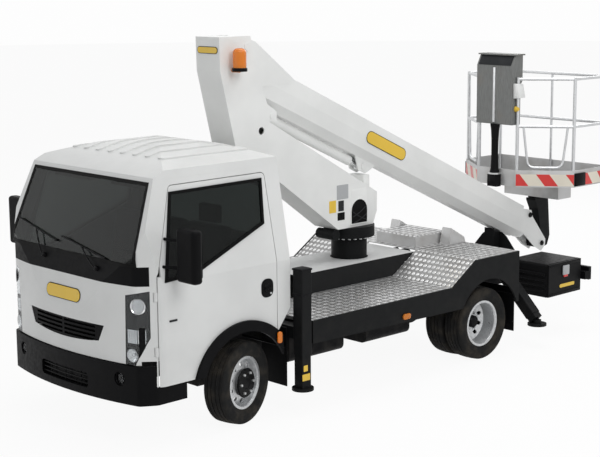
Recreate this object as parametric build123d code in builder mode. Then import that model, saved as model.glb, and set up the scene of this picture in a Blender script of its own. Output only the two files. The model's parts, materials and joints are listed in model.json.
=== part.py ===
"""Truck-mounted cherry picker: a forward-control light truck with a telescopic boom and a work basket.

Millimetres. X is forward, Y is left, Z is up; the origin lies on the ground under the middle of the
machine's length. Most stations are measured from the front axle, so the sketch planes stand there.
"""
import math
import os

from build123d import *

os.makedirs("parts", exist_ok=True)

# Running gear
WHEELBASE = 2900.0
FRONT_AXLE_X = 2065.0
TYRE_RADIUS = 336.0
TYRE_WIDTH = 204.0
RIM_LIP_RADIUS = 213.0
RIM_WIDTH = 158.0
FRONT_WHEEL_Y = 795.0
REAR_WHEEL_Y = 757.0
TWIN_SPACING = 232.0
STEER_REST_DEG = 15.0
KINGPIN_Y = 640.0
KINGPIN_RADIUS = 17.0
SPINDLE_RADIUS = 30.0
FRAME_WIDTH = 760.0
RAIL_WIDTH = 60.0
RAIL_HEIGHT = 150.0
FRAME_TOP = 620.0
SUBFRAME_TOP = 679.0
FRAME_FRONT = 880.0
FRAME_REAR = -4430.0

# Cab
CAB_BACK = -500.0
CAB_FRONT = 1055.0
CAB_HALF = 930.0
CAB_TOP_HALF = 795.0
CAB_WALL = 32.0
WAIST_Z = 1280.0
EAVE_Z = 2040.0
ROOF_Z = 2215.0
ROOF_SPLIT = 2032.0
FLOOR_Z = 690.0
RISER_TOP = 935.0
RISER_FRONT = 470.0
ARCH_RADIUS = 470.0
FLARE_INNER = 440.0
FLARE_OUTER = 525.0
SKIRT_Z = 490.0
PANEL_Z = 660.0
COWL_BOTTOM = 1262.0
COWL_TOP = 1408.0
DOOR_FRONT = 830.0
DOOR_BACK = -360.0
DOOR_GAP = 6.0
DOOR_PILLAR_Z = 1330.0
GLASS = 6.0
SEAT_GAP = 0.3
RIB_COUNT = 8
RIB_HEIGHT = 12.0
RIB_WIDTH = 70.0
RIB_PITCH = 160.0
BUMPER_FRONT = 1070.0
BUMPER_TOP = 652.0
BUMPER_BOTTOM = 350.0
BUMPER_HALF = 905.0

GRILLE_BAY = 400.0

FLAP_BACK = -470.0
FLAP_THICK = 8.0
HINGE_RADIUS = 9.0
HINGE_LENGTH = 70.0
HINGE_INSET = 40.0
KNUCKLE_RADIUS = 18.0
KNUCKLE_PLAY = 3.0
HINGE_ANCHOR = 30.0
DOOR_LIP = 20.0
DOOR_LIP_REACH = 17.0
DOOR_NOTCH = 32.0
DOOR_NOTCH_RISE = 80.0
HINGE_HEIGHTS = (760.0, 1180.0)

# Bed
BED_HALF = 1035.0
BED_FRONT = -650.0
BED_REAR = -3330.0
DECK_Z = 764.0
REAR_DECK_Z = 968.0
RAMP_FRONT = -2390.0
RAMP_REAR = -2710.0
SKIRT_BOTTOM = 545.0
PANEL_THICK = 20.0
DECK_PLATE = 8.0
TUNNEL_HALF = 300.0
TUNNEL_FRONT = -1170.0
TUNNEL_REAR = -2600.0
TUNNEL_TOP = 950.0
REAR_ARCH_RADIUS = 430.0

# Supports
JACK_TUBE = 110.0
JACK_WALL = 6.0
JACK_PLAY = 0.5
FRONT_JACK = dict(s=-580.0, y=985.0, top=1190.0, foot=195.0)
REAR_JACK = dict(s=-3600.0, y=1050.0, foot=253.0, angle=45.0)
PAD_RADIUS = 90.0
PAD_THICK = 22.0

# Turret
SLEW_S = -2120.0
PEDESTAL_RADIUS = 165.0
SLEW_RADIUS = 235.0
SLEW_TOP = 1250.0
TURRET_HALF = 150.0
TURRET_PLATE = 12.0
HEAD_TOP = 3020.0

# Boom, in its own frame: "along" runs from the pivot to the tip, "above" is square to it
PIVOT_S = -770.0
PIVOT_Z = 2930.0
BOOM_ANGLE = 24.6
BOOM_TOP = -46.0
BOOM_DEPTH = 330.0
BOOM_WIDTH = 260.0
BOOM_WALL = 6.0
BOOM_CREASE = 135.0
BOOM_BEVEL = 70.0
STAGE_GAP = 12.0
STAGE_PLAY = 0.3
BOOM_BASE = 150.0
BOOM_END = 4200.0
STAGE_1_BASE = 420.0
STAGE_1_END = 4262.0
STAGE_2_BASE = 640.0
STAGE_2_END = 4380.0
PIVOT_PIN = 36.0
NOSE_UPPER = (4376.0, -88.0)
NOSE_LOWER = (4700.0, -296.0)
NOSE_PIN = 24.0

# Lift cylinder
LIFT_FOOT = (484.0, -433.0)
LIFT_EYE = (1826.0, -434.0)
BARREL_RADIUS = 45.0
BARREL_BORE = 37.0
ROD_RADIUS = 27.0
LIFT_PIN = 20.0
ROD_SHOWING = 152.0
PISTON_START = 110.0
LUG_GAP = 46.0
LUG_PLATE = 14.0

# Basket
SWIVEL_S = -4950.0
SWIVEL_Z = 1200.0
SWIVEL_RADIUS = 95.0
BASKET_FLOOR = 1386.0
BASKET_HALF = 700.0
BASKET_NOSE_HALF = 250.0
BASKET_FRONT = -4260.0
BASKET_CORNER = -4620.0
BASKET_REAR = -5190.0
BASKET_RAIL = 1100.0
BASKET_MID = 610.0
TOE_BOARD = 170.0
TOE_PLATE = 4.0
FLOOR_PLATE = 6.0
TUBE_RADIUS = 17.0
RAIL_RADIUS = 15.0
STRUT_RADIUS = 13.0
DROP_BAR_END = 60.0
DROP_BAR_LEAN = 110.0
DROP_BAR_FOOT = 190.0
CONSOLE_ROOF = 14.0
CONSOLE_EAVE = 12.0
PIN_PLAY = 0.2

# Toolbox
BOX_FRONT = -3900.0
BOX_REAR = -4430.0
BOX_LEFT = 950.0
BOX_RIGHT = 480.0
BOX_BOTTOM = 410.0
BOX_TOP = 735.0
BOX_WALL = 6.0
BOX_DOOR = 22.0
BOX_SIDE = 6.0
BOX_HINGE_RADIUS = 5.0
BOX_HINGE_Y = BOX_LEFT - BOX_DOOR + 9.0
BOX_HINGE_Z = BOX_BOTTOM + 11.0

REAR_AXLE = -WHEELBASE
UP = Vector(0, 0, 1)


def side(y=0.0):
    """Side-view plane at a given Y: local x is the station ahead of the front axle, local y is height."""
    return Plane(origin=(FRONT_AXLE_X, y, 0), x_dir=(1, 0, 0), z_dir=(0, -1, 0))


def front(station=0.0):
    """Front-view plane at a station: local x is to the left, local y is height, extrusions go forward."""
    return Plane(origin=(FRONT_AXLE_X + station, 0, 0), x_dir=(0, 1, 0), z_dir=(1, 0, 0))


def level(z=0.0):
    """Plan-view plane at a height: local x is the station, local y is to the left."""
    return Plane(origin=(FRONT_AXLE_X, 0, z))


BOOM_SIN = math.sin(math.radians(BOOM_ANGLE))
BOOM_COS = math.cos(math.radians(BOOM_ANGLE))
BOOM_ALONG = Vector(-BOOM_COS, 0, -BOOM_SIN)
BOOM_ABOVE = Vector(-BOOM_SIN, 0, BOOM_COS)
PIVOT = Vector(FRONT_AXLE_X + PIVOT_S, 0, PIVOT_Z)


def boom_point(along, above):
    """World point on the boom's middle plane."""
    return PIVOT + BOOM_ALONG * along + BOOM_ABOVE * above


def boom_side():
    """Side-view plane of the boom, square to Y, with its origin on the pivot."""
    return Plane(origin=PIVOT, x_dir=BOOM_ALONG, z_dir=(0, 1, 0))


def boom_section(along):
    """Cross-section plane of the boom: local x is to the right, local y is above, extrusions go to the tip."""
    return Plane(origin=boom_point(along, 0), x_dir=(0, -1, 0), z_dir=BOOM_ALONG)


def run_plane(start, end):
    """Plane at the start of a straight run, square to it."""
    return Plane(origin=start, z_dir=(end - start).normalized())


def tube(start, end, radius, mode=Mode.ADD):
    """Add a round bar from one point to another to the part in hand, or cut it out."""
    start, end = Vector(start), Vector(end)
    with BuildSketch(run_plane(start, end)) as profile:
        Circle(radius)
    extrude(profile.sketch, amount=(end - start).length, mode=mode)


def block(s0, s1, y0, y1, z0, z1, mode=Mode.ADD):
    """Add a square-edged block between two stations, two Ys and two heights."""
    with BuildSketch(level(z0)) as profile:
        with Locations(((s0 + s1) / 2, (y0 + y1) / 2)):
            Rectangle(abs(s1 - s0), abs(y1 - y0))
    extrude(profile.sketch, amount=z1 - z0, mode=mode)


def outline(points, plane):
    """Face bounded by straight lines through the points, on a plane."""
    with BuildSketch(plane) as sketch:
        with BuildLine():
            Polyline(*points, close=True)
        make_face()
    return sketch.sketch


def save(piece, name):
    """Label a finished piece and write it."""
    piece.part.label = name
    export_step(piece.part, f"parts/{name}.step")


# Cab blocks

WINDSCREEN_TOP = (745.0, 2046.0)
WINDSCREEN_FOOT = (985.0, COWL_TOP)
LOW = 300.0


def cab_profile(inset):
    """Side-view outline of the cab, run straight down to below its lower edge."""
    with BuildSketch(side()) as sketch:
        with BuildLine():
            roof = ThreePointArc((CAB_BACK, 2095), (120, ROOF_Z), WINDSCREEN_TOP)
            Polyline(roof @ 1, WINDSCREEN_FOOT, (1020, COWL_BOTTOM), (CAB_FRONT, 960), (CAB_FRONT, LOW),
                     (CAB_BACK, LOW), roof @ 0)
        make_face()
        if inset:
            offset(amount=-inset, kind=Kind.INTERSECTION, mode=Mode.REPLACE)
    return sketch.sketch


def cab_section(inset):
    """Front-view outline of the cab: upright to the waist, then leaning in to a crowned roof."""
    with BuildSketch(front(CAB_BACK - 100)) as sketch:
        with BuildLine():
            crown = ThreePointArc((-CAB_TOP_HALF + 20, EAVE_Z + 55), (0, ROOF_Z), (CAB_TOP_HALF - 20, EAVE_Z + 55))
            Polyline(crown @ 1, (CAB_TOP_HALF, EAVE_Z - 40), (CAB_HALF, WAIST_Z), (CAB_HALF, LOW),
                     (-CAB_HALF, LOW), (-CAB_HALF, WAIST_Z), (-CAB_TOP_HALF, EAVE_Z - 40), crown @ 0)
        make_face()
        if inset:
            offset(amount=-inset, kind=Kind.INTERSECTION, mode=Mode.REPLACE)
    return sketch.sketch


def cab_plan(inset):
    """Plan outline of the cab: square back, bowed front with rounded corners."""
    with BuildSketch(level(LOW)) as sketch:
        with BuildLine():
            bow = ThreePointArc((955, -800), (CAB_FRONT, 0), (955, 800))
            Polyline(bow @ 1, (800, CAB_HALF), (CAB_BACK, CAB_HALF), (CAB_BACK, -CAB_HALF), (800, -CAB_HALF), bow @ 0)
        make_face()
        fillet(sketch.vertices().filter_by_position(Axis.X, 790, 960), 90)
        if inset:
            offset(amount=-inset, kind=Kind.INTERSECTION, mode=Mode.REPLACE)
    return sketch.sketch


def cab_block(inset):
    """Whole cab volume, drawn in by an inset; its lower edge is left long."""
    with BuildPart() as solid:
        extrude(cab_profile(inset), amount=CAB_HALF + 50, both=True)
        extrude(cab_section(inset), amount=CAB_FRONT - CAB_BACK + 300, mode=Mode.INTERSECT)
        extrude(cab_plan(inset), amount=ROOF_Z, mode=Mode.INTERSECT)
    return solid.part


CAB_OUTER = cab_block(0)
CAB_INNER = cab_block(CAB_WALL)
CAB_GLASS_INNER = cab_block(GLASS)
CAB_RIB_OUTER = cab_block(-RIB_HEIGHT)

with BuildPart() as cab_space:
    add(CAB_INNER)
    floor_step = [(CAB_BACK, RISER_TOP), (RISER_FRONT, RISER_TOP), (RISER_FRONT, FLOOR_Z + CAB_WALL),
                  (CAB_FRONT, FLOOR_Z + CAB_WALL), (CAB_FRONT, ROOF_Z), (CAB_BACK, ROOF_Z)]
    extrude(outline(floor_step, side()), amount=CAB_HALF, both=True, mode=Mode.INTERSECT)

with BuildPart() as cab_wall:
    add(CAB_OUTER)
    with BuildSketch(side()):
        with BuildLine():
            arch = RadiusArc((-330, TYRE_RADIUS + math.sqrt(ARCH_RADIUS**2 - 330**2)),
                             (math.sqrt(ARCH_RADIUS**2 - (SKIRT_Z - TYRE_RADIUS) ** 2), SKIRT_Z), ARCH_RADIUS)
            Polyline(arch @ 1, (DOOR_FRONT + 10, SKIRT_Z), (DOOR_FRONT + 10, PANEL_Z), (CAB_FRONT + 50, PANEL_Z),
                     (CAB_FRONT + 50, LOW - 50), (CAB_BACK - 50, LOW - 50), (CAB_BACK - 50, 890),
                     (CAB_BACK, 890), arch @ 0)
        make_face()
    extrude(amount=CAB_HALF + 100, both=True, mode=Mode.SUBTRACT)
    add(cab_space.part, mode=Mode.SUBTRACT)
    under_floor = [(CAB_BACK + CAB_WALL, LOW), (CAB_BACK + CAB_WALL, RISER_TOP - CAB_WALL),
                   (RISER_FRONT - CAB_WALL, RISER_TOP - CAB_WALL), (RISER_FRONT - CAB_WALL, FLOOR_Z),
                   (CAB_FRONT - 130, FLOOR_Z), (CAB_FRONT - 130, LOW)]
    extrude(outline(under_floor, side()), amount=CAB_HALF - CAB_WALL, both=True, mode=Mode.SUBTRACT)


def door_outline(inset):
    """Side-view outline of a door: upright front edge, leaning pillar, level top, upright back edge."""
    with BuildSketch(side()) as sketch:
        with BuildLine():
            Polyline((DOOR_FRONT, LOW), (DOOR_FRONT, DOOR_PILLAR_Z), (618, 1985), (DOOR_BACK + 10, 1990),
                     (DOOR_BACK, 1300), (DOOR_BACK, LOW), close=True)
        make_face()
        fillet(sketch.vertices().filter_by_position(Axis.Y, 1900, 2000), 40)
        if inset:
            offset(amount=-inset, mode=Mode.REPLACE)
    return sketch.sketch


def window_outline(inset):
    """Side-view outline of a door window, with the sill dropped at its front."""
    with BuildSketch(side()) as sketch:
        with BuildLine():
            Polyline((622, 1935), (-305, 1945), (-270, 1592), (480, 1300), (770, 1285), close=True)
        make_face()
        fillet(sketch.vertices(), 28)
        if inset:
            offset(amount=-inset, mode=Mode.REPLACE)
    return sketch.sketch


def side_zone(face, hand):
    """Space over one flank of the cab inside a side-view outline, as deep as the wall."""
    with BuildPart() as zone:
        extrude(face, amount=-hand * (CAB_HALF + 100))
        extrude(cab_section(CAB_WALL), amount=CAB_FRONT - CAB_BACK + 300, mode=Mode.SUBTRACT)
    return zone.part


def front_zone(face, reach=400.0):
    """Space over the cab's front inside a front-view outline, as deep as the wall."""
    with BuildPart() as zone:
        extrude(face, amount=reach)
        add(CAB_INNER, mode=Mode.SUBTRACT)
        with BuildSketch(level(LOW)):
            with Locations(((CAB_FRONT - 130) / 2, 0)):
                Rectangle(CAB_FRONT - 130, 2 * (CAB_HALF - CAB_WALL) - 120)
        extrude(amount=CAB_WALL * 20, mode=Mode.SUBTRACT)
    return zone.part


NOSE_STATION = 870.0
cowl_face = outline([(-CAB_HALF, COWL_BOTTOM), (CAB_HALF, COWL_BOTTOM), (CAB_HALF, COWL_TOP), (-CAB_HALF, COWL_TOP)],
                    front(NOSE_STATION))
LAMP_INNER = 700.0


def lamp_face(hand, inset):
    """Front-view outline of a tall headlamp that widens upwards round the corner."""
    with BuildSketch(front(NOSE_STATION)) as sketch:
        with BuildLine():
            Polyline((hand * LAMP_INNER, PANEL_Z - 5), (hand * (LAMP_INNER + 12), 1190), (hand * 900, 1232),
                     (hand * 905, 960), (hand * 790, PANEL_Z - 5), close=True)
        make_face()
        if inset:
            offset(amount=-inset, mode=Mode.REPLACE)
    return sketch.sketch


panel_face = outline([(-LAMP_INNER, PANEL_Z - 5), (LAMP_INNER, PANEL_Z - 5), (LAMP_INNER + 12, 1190),
                      (LAMP_INNER + 14, COWL_BOTTOM), (-LAMP_INNER - 14, COWL_BOTTOM), (-LAMP_INNER - 12, 1190)],
                     front(NOSE_STATION))
with BuildSketch(front(600)) as windscreen_face:
    with BuildLine():
        Polyline((-812, COWL_TOP), (812, COWL_TOP), (738, 2000), (-738, 2000), close=True)
    make_face()
    fillet(windscreen_face.vertices().group_by(Axis.Y)[-1], 60)
with BuildSketch(front(CAB_BACK - 50)) as rear_window_face:
    with Locations((0, 1640)):
        RectangleRounded(1240, 420, 60)
with BuildSketch(front(NOSE_STATION)) as grille_face:
    with BuildLine():
        mouth = ThreePointArc((-430, 800), (0, 770), (430, 800))
        Polyline(mouth @ 1, (490, 925), (-490, 925), mouth @ 0)
    make_face()



def door_hinges(radius, length, mode=Mode.ADD):
    """Upright hinge pins at the front edge of both doors, added to the part in hand or cut from it."""
    for height in HINGE_HEIGHTS:
        with BuildSketch(level(height - length / 2)) as pins:
            with GridLocations(0, 2 * (CAB_HALF - HINGE_INSET), 1, 2):
                with Locations((DOOR_FRONT, 0)):
                    Circle(radius)
        extrude(pins.sketch, amount=length, mode=mode)


def pane(face, reach):
    """Space of a window pane that lies in its opening with a small seat gap."""
    with BuildPart() as space:
        extrude(offset(face, amount=-SEAT_GAP), amount=reach)
    return space.part


with BuildPart() as cab_shell:
    add(cab_wall.part)
    for hand in (1, -1):
        add(side_zone(door_outline(0), hand), mode=Mode.SUBTRACT)
    extrude(windscreen_face.sketch, amount=500, mode=Mode.SUBTRACT)
    extrude(rear_window_face.sketch, amount=150, mode=Mode.SUBTRACT)
    add(front_zone(cowl_face), mode=Mode.SUBTRACT)
    add(front_zone(panel_face), mode=Mode.SUBTRACT)
    for hand in (1, -1):
        add(front_zone(lamp_face(hand, 0)), mode=Mode.SUBTRACT)
    split(bisect_by=level(ROOF_SPLIT), keep=Keep.BOTTOM)
    door_hinges(KNUCKLE_RADIUS + KNUCKLE_PLAY, HINGE_LENGTH + 2 * SEAT_GAP, mode=Mode.SUBTRACT)
    for height in HINGE_HEIGHTS:
        for hand in (1, -1):
            block(DOOR_FRONT - 3 * KNUCKLE_RADIUS, DOOR_FRONT, hand * (CAB_HALF - HINGE_INSET - KNUCKLE_RADIUS - KNUCKLE_PLAY),
                  hand * CAB_HALF, height - HINGE_LENGTH / 2 - SEAT_GAP, height + HINGE_LENGTH / 2 + SEAT_GAP, mode=Mode.SUBTRACT)
    door_hinges(HINGE_RADIUS, HINGE_LENGTH + 2 * HINGE_ANCHOR)
save(cab_shell, "cab_shell")

with BuildPart() as roof_ribs:
    add(CAB_RIB_OUTER)
    with BuildSketch(level(ROOF_SPLIT + 60)):
        with Locations((60, 0)):
            with GridLocations(0, RIB_PITCH, 1, RIB_COUNT):
                SlotOverall(900, RIB_WIDTH)
    extrude(amount=400, mode=Mode.INTERSECT)
    add(CAB_INNER, mode=Mode.SUBTRACT)

with BuildPart() as cab_roof:
    add(cab_wall.part)
    extrude(windscreen_face.sketch, amount=500, mode=Mode.SUBTRACT)
    split(bisect_by=level(ROOF_SPLIT + SEAT_GAP), keep=Keep.TOP)
    add(roof_ribs.part)
save(cab_roof, "cab_roof")

with BuildPart() as front_panel:
    add(cab_wall.part)
    add(front_zone(panel_face), mode=Mode.INTERSECT)
    extrude(grille_face.sketch, amount=400, mode=Mode.SUBTRACT)
save(front_panel, "front_panel")

with BuildPart() as cowl:
    add(cab_wall.part)
    add(front_zone(cowl_face), mode=Mode.INTERSECT)
save(cowl, "cowl")

with BuildPart() as headlamps:
    add(cab_wall.part)
    add([front_zone(lamp_face(hand, 2 * SEAT_GAP)) for hand in (1, -1)], mode=Mode.INTERSECT)
save(headlamps, "headlamps")

with BuildPart() as grille:
    add(cab_block(4))
    add(CAB_INNER, mode=Mode.SUBTRACT)
    extrude(grille_face.sketch, amount=400, mode=Mode.INTERSECT)
    with BuildSketch(front(NOSE_STATION)):
        with Locations((0, 850)):
            with GridLocations(GRILLE_BAY, 34, 2, 4):
                Rectangle(GRILLE_BAY - 24, 18)
    extrude(amount=400, mode=Mode.SUBTRACT)
save(grille, "grille")

with BuildPart() as cab_glass:
    add(CAB_OUTER)
    add(CAB_GLASS_INNER, mode=Mode.SUBTRACT)
    add([pane(windscreen_face.sketch, 500), pane(rear_window_face.sketch, 150)], mode=Mode.INTERSECT)
save(cab_glass, "cab_glass")


# Doors, with their glass and mirrors

MIRROR_ARMS = ((775.0, 1400.0), (722.0, 1600.0))

for hand, name in ((1, "left"), (-1, "right")):
    with BuildPart() as door:
        add(cab_wall.part)
        add(side_zone(door_outline(DOOR_GAP), hand), mode=Mode.INTERSECT)
        add(side_zone(window_outline(0), hand), mode=Mode.SUBTRACT)
        block(DOOR_FRONT - DOOR_LIP_REACH, DOOR_FRONT, hand * (CAB_HALF - 2 * CAB_WALL), hand * (CAB_HALF - DOOR_LIP),
              LOW, DOOR_PILLAR_Z, mode=Mode.SUBTRACT)
        block(DOOR_FRONT - DOOR_NOTCH, DOOR_FRONT, hand * (CAB_HALF - 3 * CAB_WALL), hand * CAB_HALF,
              DOOR_PILLAR_Z, DOOR_PILLAR_Z + DOOR_NOTCH_RISE, mode=Mode.SUBTRACT)
        for height in HINGE_HEIGHTS:
            hinge_y = hand * (CAB_HALF - HINGE_INSET)
            with BuildSketch(level(height - HINGE_LENGTH / 2)):
                with Locations((DOOR_FRONT, hinge_y)):
                    Circle(KNUCKLE_RADIUS)
                with Locations((DOOR_FRONT - KNUCKLE_RADIUS, hinge_y + hand * KNUCKLE_RADIUS / 4)):
                    Rectangle(2 * KNUCKLE_RADIUS, KNUCKLE_RADIUS)
            extrude(amount=HINGE_LENGTH)
        door_hinges(HINGE_RADIUS + PIN_PLAY, HINGE_LENGTH + 2 * HINGE_ANCHOR, mode=Mode.SUBTRACT)
    save(door, f"door_{name}")

    with BuildPart() as door_glass:
        add(CAB_OUTER)
        add(CAB_GLASS_INNER, mode=Mode.SUBTRACT)
        add(side_zone(window_outline(SEAT_GAP), hand), mode=Mode.INTERSECT)
    save(door_glass, f"door_glass_{name}")

    with BuildPart() as mirror:
        with BuildSketch(Plane(origin=(FRONT_AXLE_X + 690, hand * 1010, 1300), x_dir=(0, hand, 0), z_dir=(0, 0, 1))):
            with Locations((112, 0)):
                RectangleRounded(225, 95, 40)
        extrude(amount=400)
        fillet(mirror.edges().group_by(Axis.Z)[-1] + mirror.edges().group_by(Axis.Z)[0], 25)
        for station, height in MIRROR_ARMS:
            lean = CAB_HALF - (CAB_HALF - CAB_TOP_HALF) * (height - WAIST_Z) / (EAVE_Z - 40 - WAIST_Z)
            tube((FRONT_AXLE_X + station, hand * (lean - 30), height), (FRONT_AXLE_X + 700, hand * 1040, height), 12)
        add(CAB_OUTER, mode=Mode.SUBTRACT)
    save(mirror, f"mirror_{name}")

# Cab inside

with BuildPart() as dashboard:
    dash = [(CAB_FRONT - 160, 860), (CAB_FRONT - 160, 1270), (860, 1330), (700, 1290), (680, 1120), (740, 860)]
    extrude(outline(dash, side()), amount=CAB_HALF - CAB_WALL - 90, both=True)
    add(CAB_INNER, mode=Mode.INTERSECT)
    block(760, 860, -CAB_HALF + 200, CAB_HALF - 200, FLOOR_Z + CAB_WALL, 870)
    wheel_hub = Vector(FRONT_AXLE_X + 560, 400, 1300)
    wheel_axis = Vector(-0.62, 0, 0.78)
    tube(wheel_hub - wheel_axis * 240, wheel_hub, 24)
    with BuildSketch(Plane(origin=wheel_hub, x_dir=(0, 1, 0), z_dir=wheel_axis)):
        Circle(55)
        Rectangle(380, 34)
    extrude(amount=14)
    with BuildSketch(Plane(origin=wheel_hub, x_dir=wheel_axis, z_dir=(0, -1, 0))):
        with Locations((7, 190)):
            Circle(14)
    revolve(axis=Axis(wheel_hub, wheel_axis))
save(dashboard, "dashboard")

SEATS = ((400.0, 500.0), (-330.0, 900.0))
with BuildPart() as seats:
    for centre, width in SEATS:
        block(-80, 430, centre - width / 2, centre + width / 2, RISER_TOP, RISER_TOP + 150)
        back = [(-80, RISER_TOP), (60, RISER_TOP), (-60, 1560), (-150, 1560)]
        extrude(outline(back, side(centre + width / 2)), amount=width)
        block(-165, -80, centre - 120, centre + 120, 1540, 1720)
save(seats, "seats")

# Bumper

with BuildPart() as front_bumper:
    with BuildSketch(level(BUMPER_BOTTOM)):
        with BuildLine():
            lip = ThreePointArc((960, -830), (BUMPER_FRONT, 0), (960, 830))
            Polyline(lip @ 1, (840, BUMPER_HALF), (560, BUMPER_HALF), (560, -BUMPER_HALF), (840, -BUMPER_HALF), lip @ 0)
        make_face()
    extrude(amount=BUMPER_TOP - BUMPER_BOTTOM)
    fillet(front_bumper.edges().filter_by(Axis.Z).filter_by_position(Axis.X, FRONT_AXLE_X + 800, FRONT_AXLE_X + 1000), 60)
    offset(amount=-CAB_WALL, openings=front_bumper.faces().sort_by(Axis.X)[:1] + front_bumper.faces().sort_by(Axis.Z)[:1]
           + front_bumper.faces().sort_by(Axis.Z)[-1:], kind=Kind.INTERSECTION)
    block(500, DOOR_FRONT + 14, -BUMPER_HALF - 10, BUMPER_HALF + 10, SKIRT_Z - DOOR_GAP, BUMPER_TOP + 10, mode=Mode.SUBTRACT)
    with BuildSketch(front(700)):
        with GridLocations(1300, 0, 2, 1):
            with Locations((0, 540)):
                Circle(55)
        with Locations((0, 470)):
            RectangleRounded(620, 120, 30)
    extrude(amount=400, mode=Mode.SUBTRACT)
    for hand in (1, -1):
        block(FRAME_FRONT, BUMPER_FRONT - 35, hand * (FRAME_WIDTH / 2 - RAIL_WIDTH), hand * FRAME_WIDTH / 2, 480, 560)
        block(FRAME_FRONT - 90, FRAME_FRONT + 40, hand * (FRAME_WIDTH / 2 + 10), hand * (FRAME_WIDTH / 2), 480, 560)
save(front_bumper, "front_bumper")

# Wheel arches: flares on the cab, mud flaps behind the wheels

with BuildPart() as wheel_arches:
    for hand in (1, -1):
        with BuildSketch(side(hand * (CAB_HALF + SEAT_GAP))):
            with Locations((0, TYRE_RADIUS)):
                Circle(FLARE_OUTER)
                Circle(FLARE_INNER, mode=Mode.SUBTRACT)
            with Locations((0, SKIRT_Z - FLARE_OUTER)):
                Rectangle(3 * FLARE_OUTER, 2 * FLARE_OUTER, mode=Mode.SUBTRACT)
            with Locations((-600, 560)):
                Rectangle(400, 500, mode=Mode.SUBTRACT)
        extrude(amount=-hand * 26)
        block(FLAP_BACK - FLAP_THICK, FLAP_BACK, hand * 640, hand * 910, 230, 720)
        tube((FRONT_AXLE_X + FLAP_BACK - FLAP_THICK / 2, hand * FRAME_WIDTH / 2, 560),
             (FRONT_AXLE_X + FLAP_BACK - FLAP_THICK / 2, hand * 900, 560), 10)
        block(BED_REAR + 20, BED_REAR + 20 + FLAP_THICK, hand * 540, hand * 1000, 200, 620)
        tube((FRONT_AXLE_X + BED_REAR + 24, hand * FRAME_WIDTH / 2, 560),
             (FRONT_AXLE_X + BED_REAR + 24, hand * 990, 560), 10)
save(wheel_arches, "wheel_arches")

# Chassis frame

CAB_MOUNTS = ((560.0, 640.0, FLOOR_Z), (-420.0, -340.0, RISER_TOP - CAB_WALL))
CROSS_MEMBERS = (760.0, 230.0, -230.0, -1100.0, -2300.0, -3480.0, -4380.0)
with BuildPart() as chassis_frame:
    for hand in (1, -1):
        with BuildSketch(front(FRAME_REAR)):
            with Locations((hand * (FRAME_WIDTH - RAIL_WIDTH) / 2, FRAME_TOP - RAIL_HEIGHT / 2)):
                Rectangle(RAIL_WIDTH, RAIL_HEIGHT)
                with Locations((-hand * 8, 0)):
                    Rectangle(RAIL_WIDTH, RAIL_HEIGHT - 16, mode=Mode.SUBTRACT)
        extrude(amount=FRAME_FRONT - FRAME_REAR)
    for station in CROSS_MEMBERS:
        block(station - 40, station + 40, -FRAME_WIDTH / 2 + 4, FRAME_WIDTH / 2 - 4,
              FRAME_TOP - RAIL_HEIGHT, FRAME_TOP - RAIL_HEIGHT + 50)
    for back, ahead, seat_z in CAB_MOUNTS:
        for hand in (1, -1):
            block(back, ahead, hand * (FRAME_WIDTH / 2 - RAIL_WIDTH), hand * FRAME_WIDTH / 2, FRAME_TOP, seat_z)
save(chassis_frame, "chassis_frame")

with BuildPart() as engine_block:
    block(-330, 330, -260, 260, FRAME_TOP - RAIL_HEIGHT + 50, 700)
    block(-520, -330, -110, 110, FRAME_TOP - RAIL_HEIGHT + 60, 640)
    fillet(engine_block.edges().filter_by(Axis.X), 20)
save(engine_block, "engine_block")

UNDER_TANKS = ((-1000.0, 640.0), (-1880.0, 560.0))
with BuildPart() as under_tanks:
    for station, length in UNDER_TANKS:
        for hand in (1, -1):
            with BuildSketch(front(station - length / 2)):
                with Locations((hand * (FRAME_WIDTH / 2 + 170), FRAME_TOP - 150)):
                    RectangleRounded(340, 260, 60)
            extrude(amount=length)
save(under_tanks, "under_tanks")

# Axles, knuckles and wheels

KNUCKLE_HEIGHT = 70.0
BEAM_DROP = 70.0


def wheel_plane(station, y, hand, steer):
    """Plane through a wheel's axle: local x points outwards along the axle, local y is up."""
    turn = math.radians(steer)
    outwards = Vector(-hand * math.sin(turn), hand * math.cos(turn), 0)
    pivot = Vector(FRONT_AXLE_X + station, hand * KINGPIN_Y, TYRE_RADIUS)
    return Plane(origin=pivot + outwards * (y - KINGPIN_Y), x_dir=outwards, z_dir=outwards.cross(UP))


with BuildPart() as front_axle:
    with BuildSketch(front(-45)):
        with BuildLine():
            Polyline((KINGPIN_Y - 60, TYRE_RADIUS + 30), (420, 300), (-420, 300), (-KINGPIN_Y + 60, TYRE_RADIUS + 30),
                     (-KINGPIN_Y + 60, TYRE_RADIUS - 30), (-400, 230), (400, 230), (KINGPIN_Y - 60, TYRE_RADIUS - 30),
                     close=True)
        make_face()
    extrude(amount=90)
    for hand in (1, -1):
        with BuildSketch(level(TYRE_RADIUS - KNUCKLE_HEIGHT / 2)):
            with Locations((0, hand * KINGPIN_Y)):
                Circle(36)
            with Locations((0, hand * (KINGPIN_Y - 50))):
                Rectangle(60, 60)
        extrude(amount=KNUCKLE_HEIGHT)
        with BuildSketch(level(TYRE_RADIUS - KNUCKLE_HEIGHT / 2 - 60)):
            with Locations((0, hand * KINGPIN_Y)):
                Circle(KINGPIN_RADIUS)
        extrude(amount=KNUCKLE_HEIGHT + 120)
        block(-40, 40, hand * (FRAME_WIDTH / 2 - RAIL_WIDTH), hand * FRAME_WIDTH / 2, 290, FRAME_TOP - RAIL_HEIGHT)
save(front_axle, "front_axle")

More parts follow.
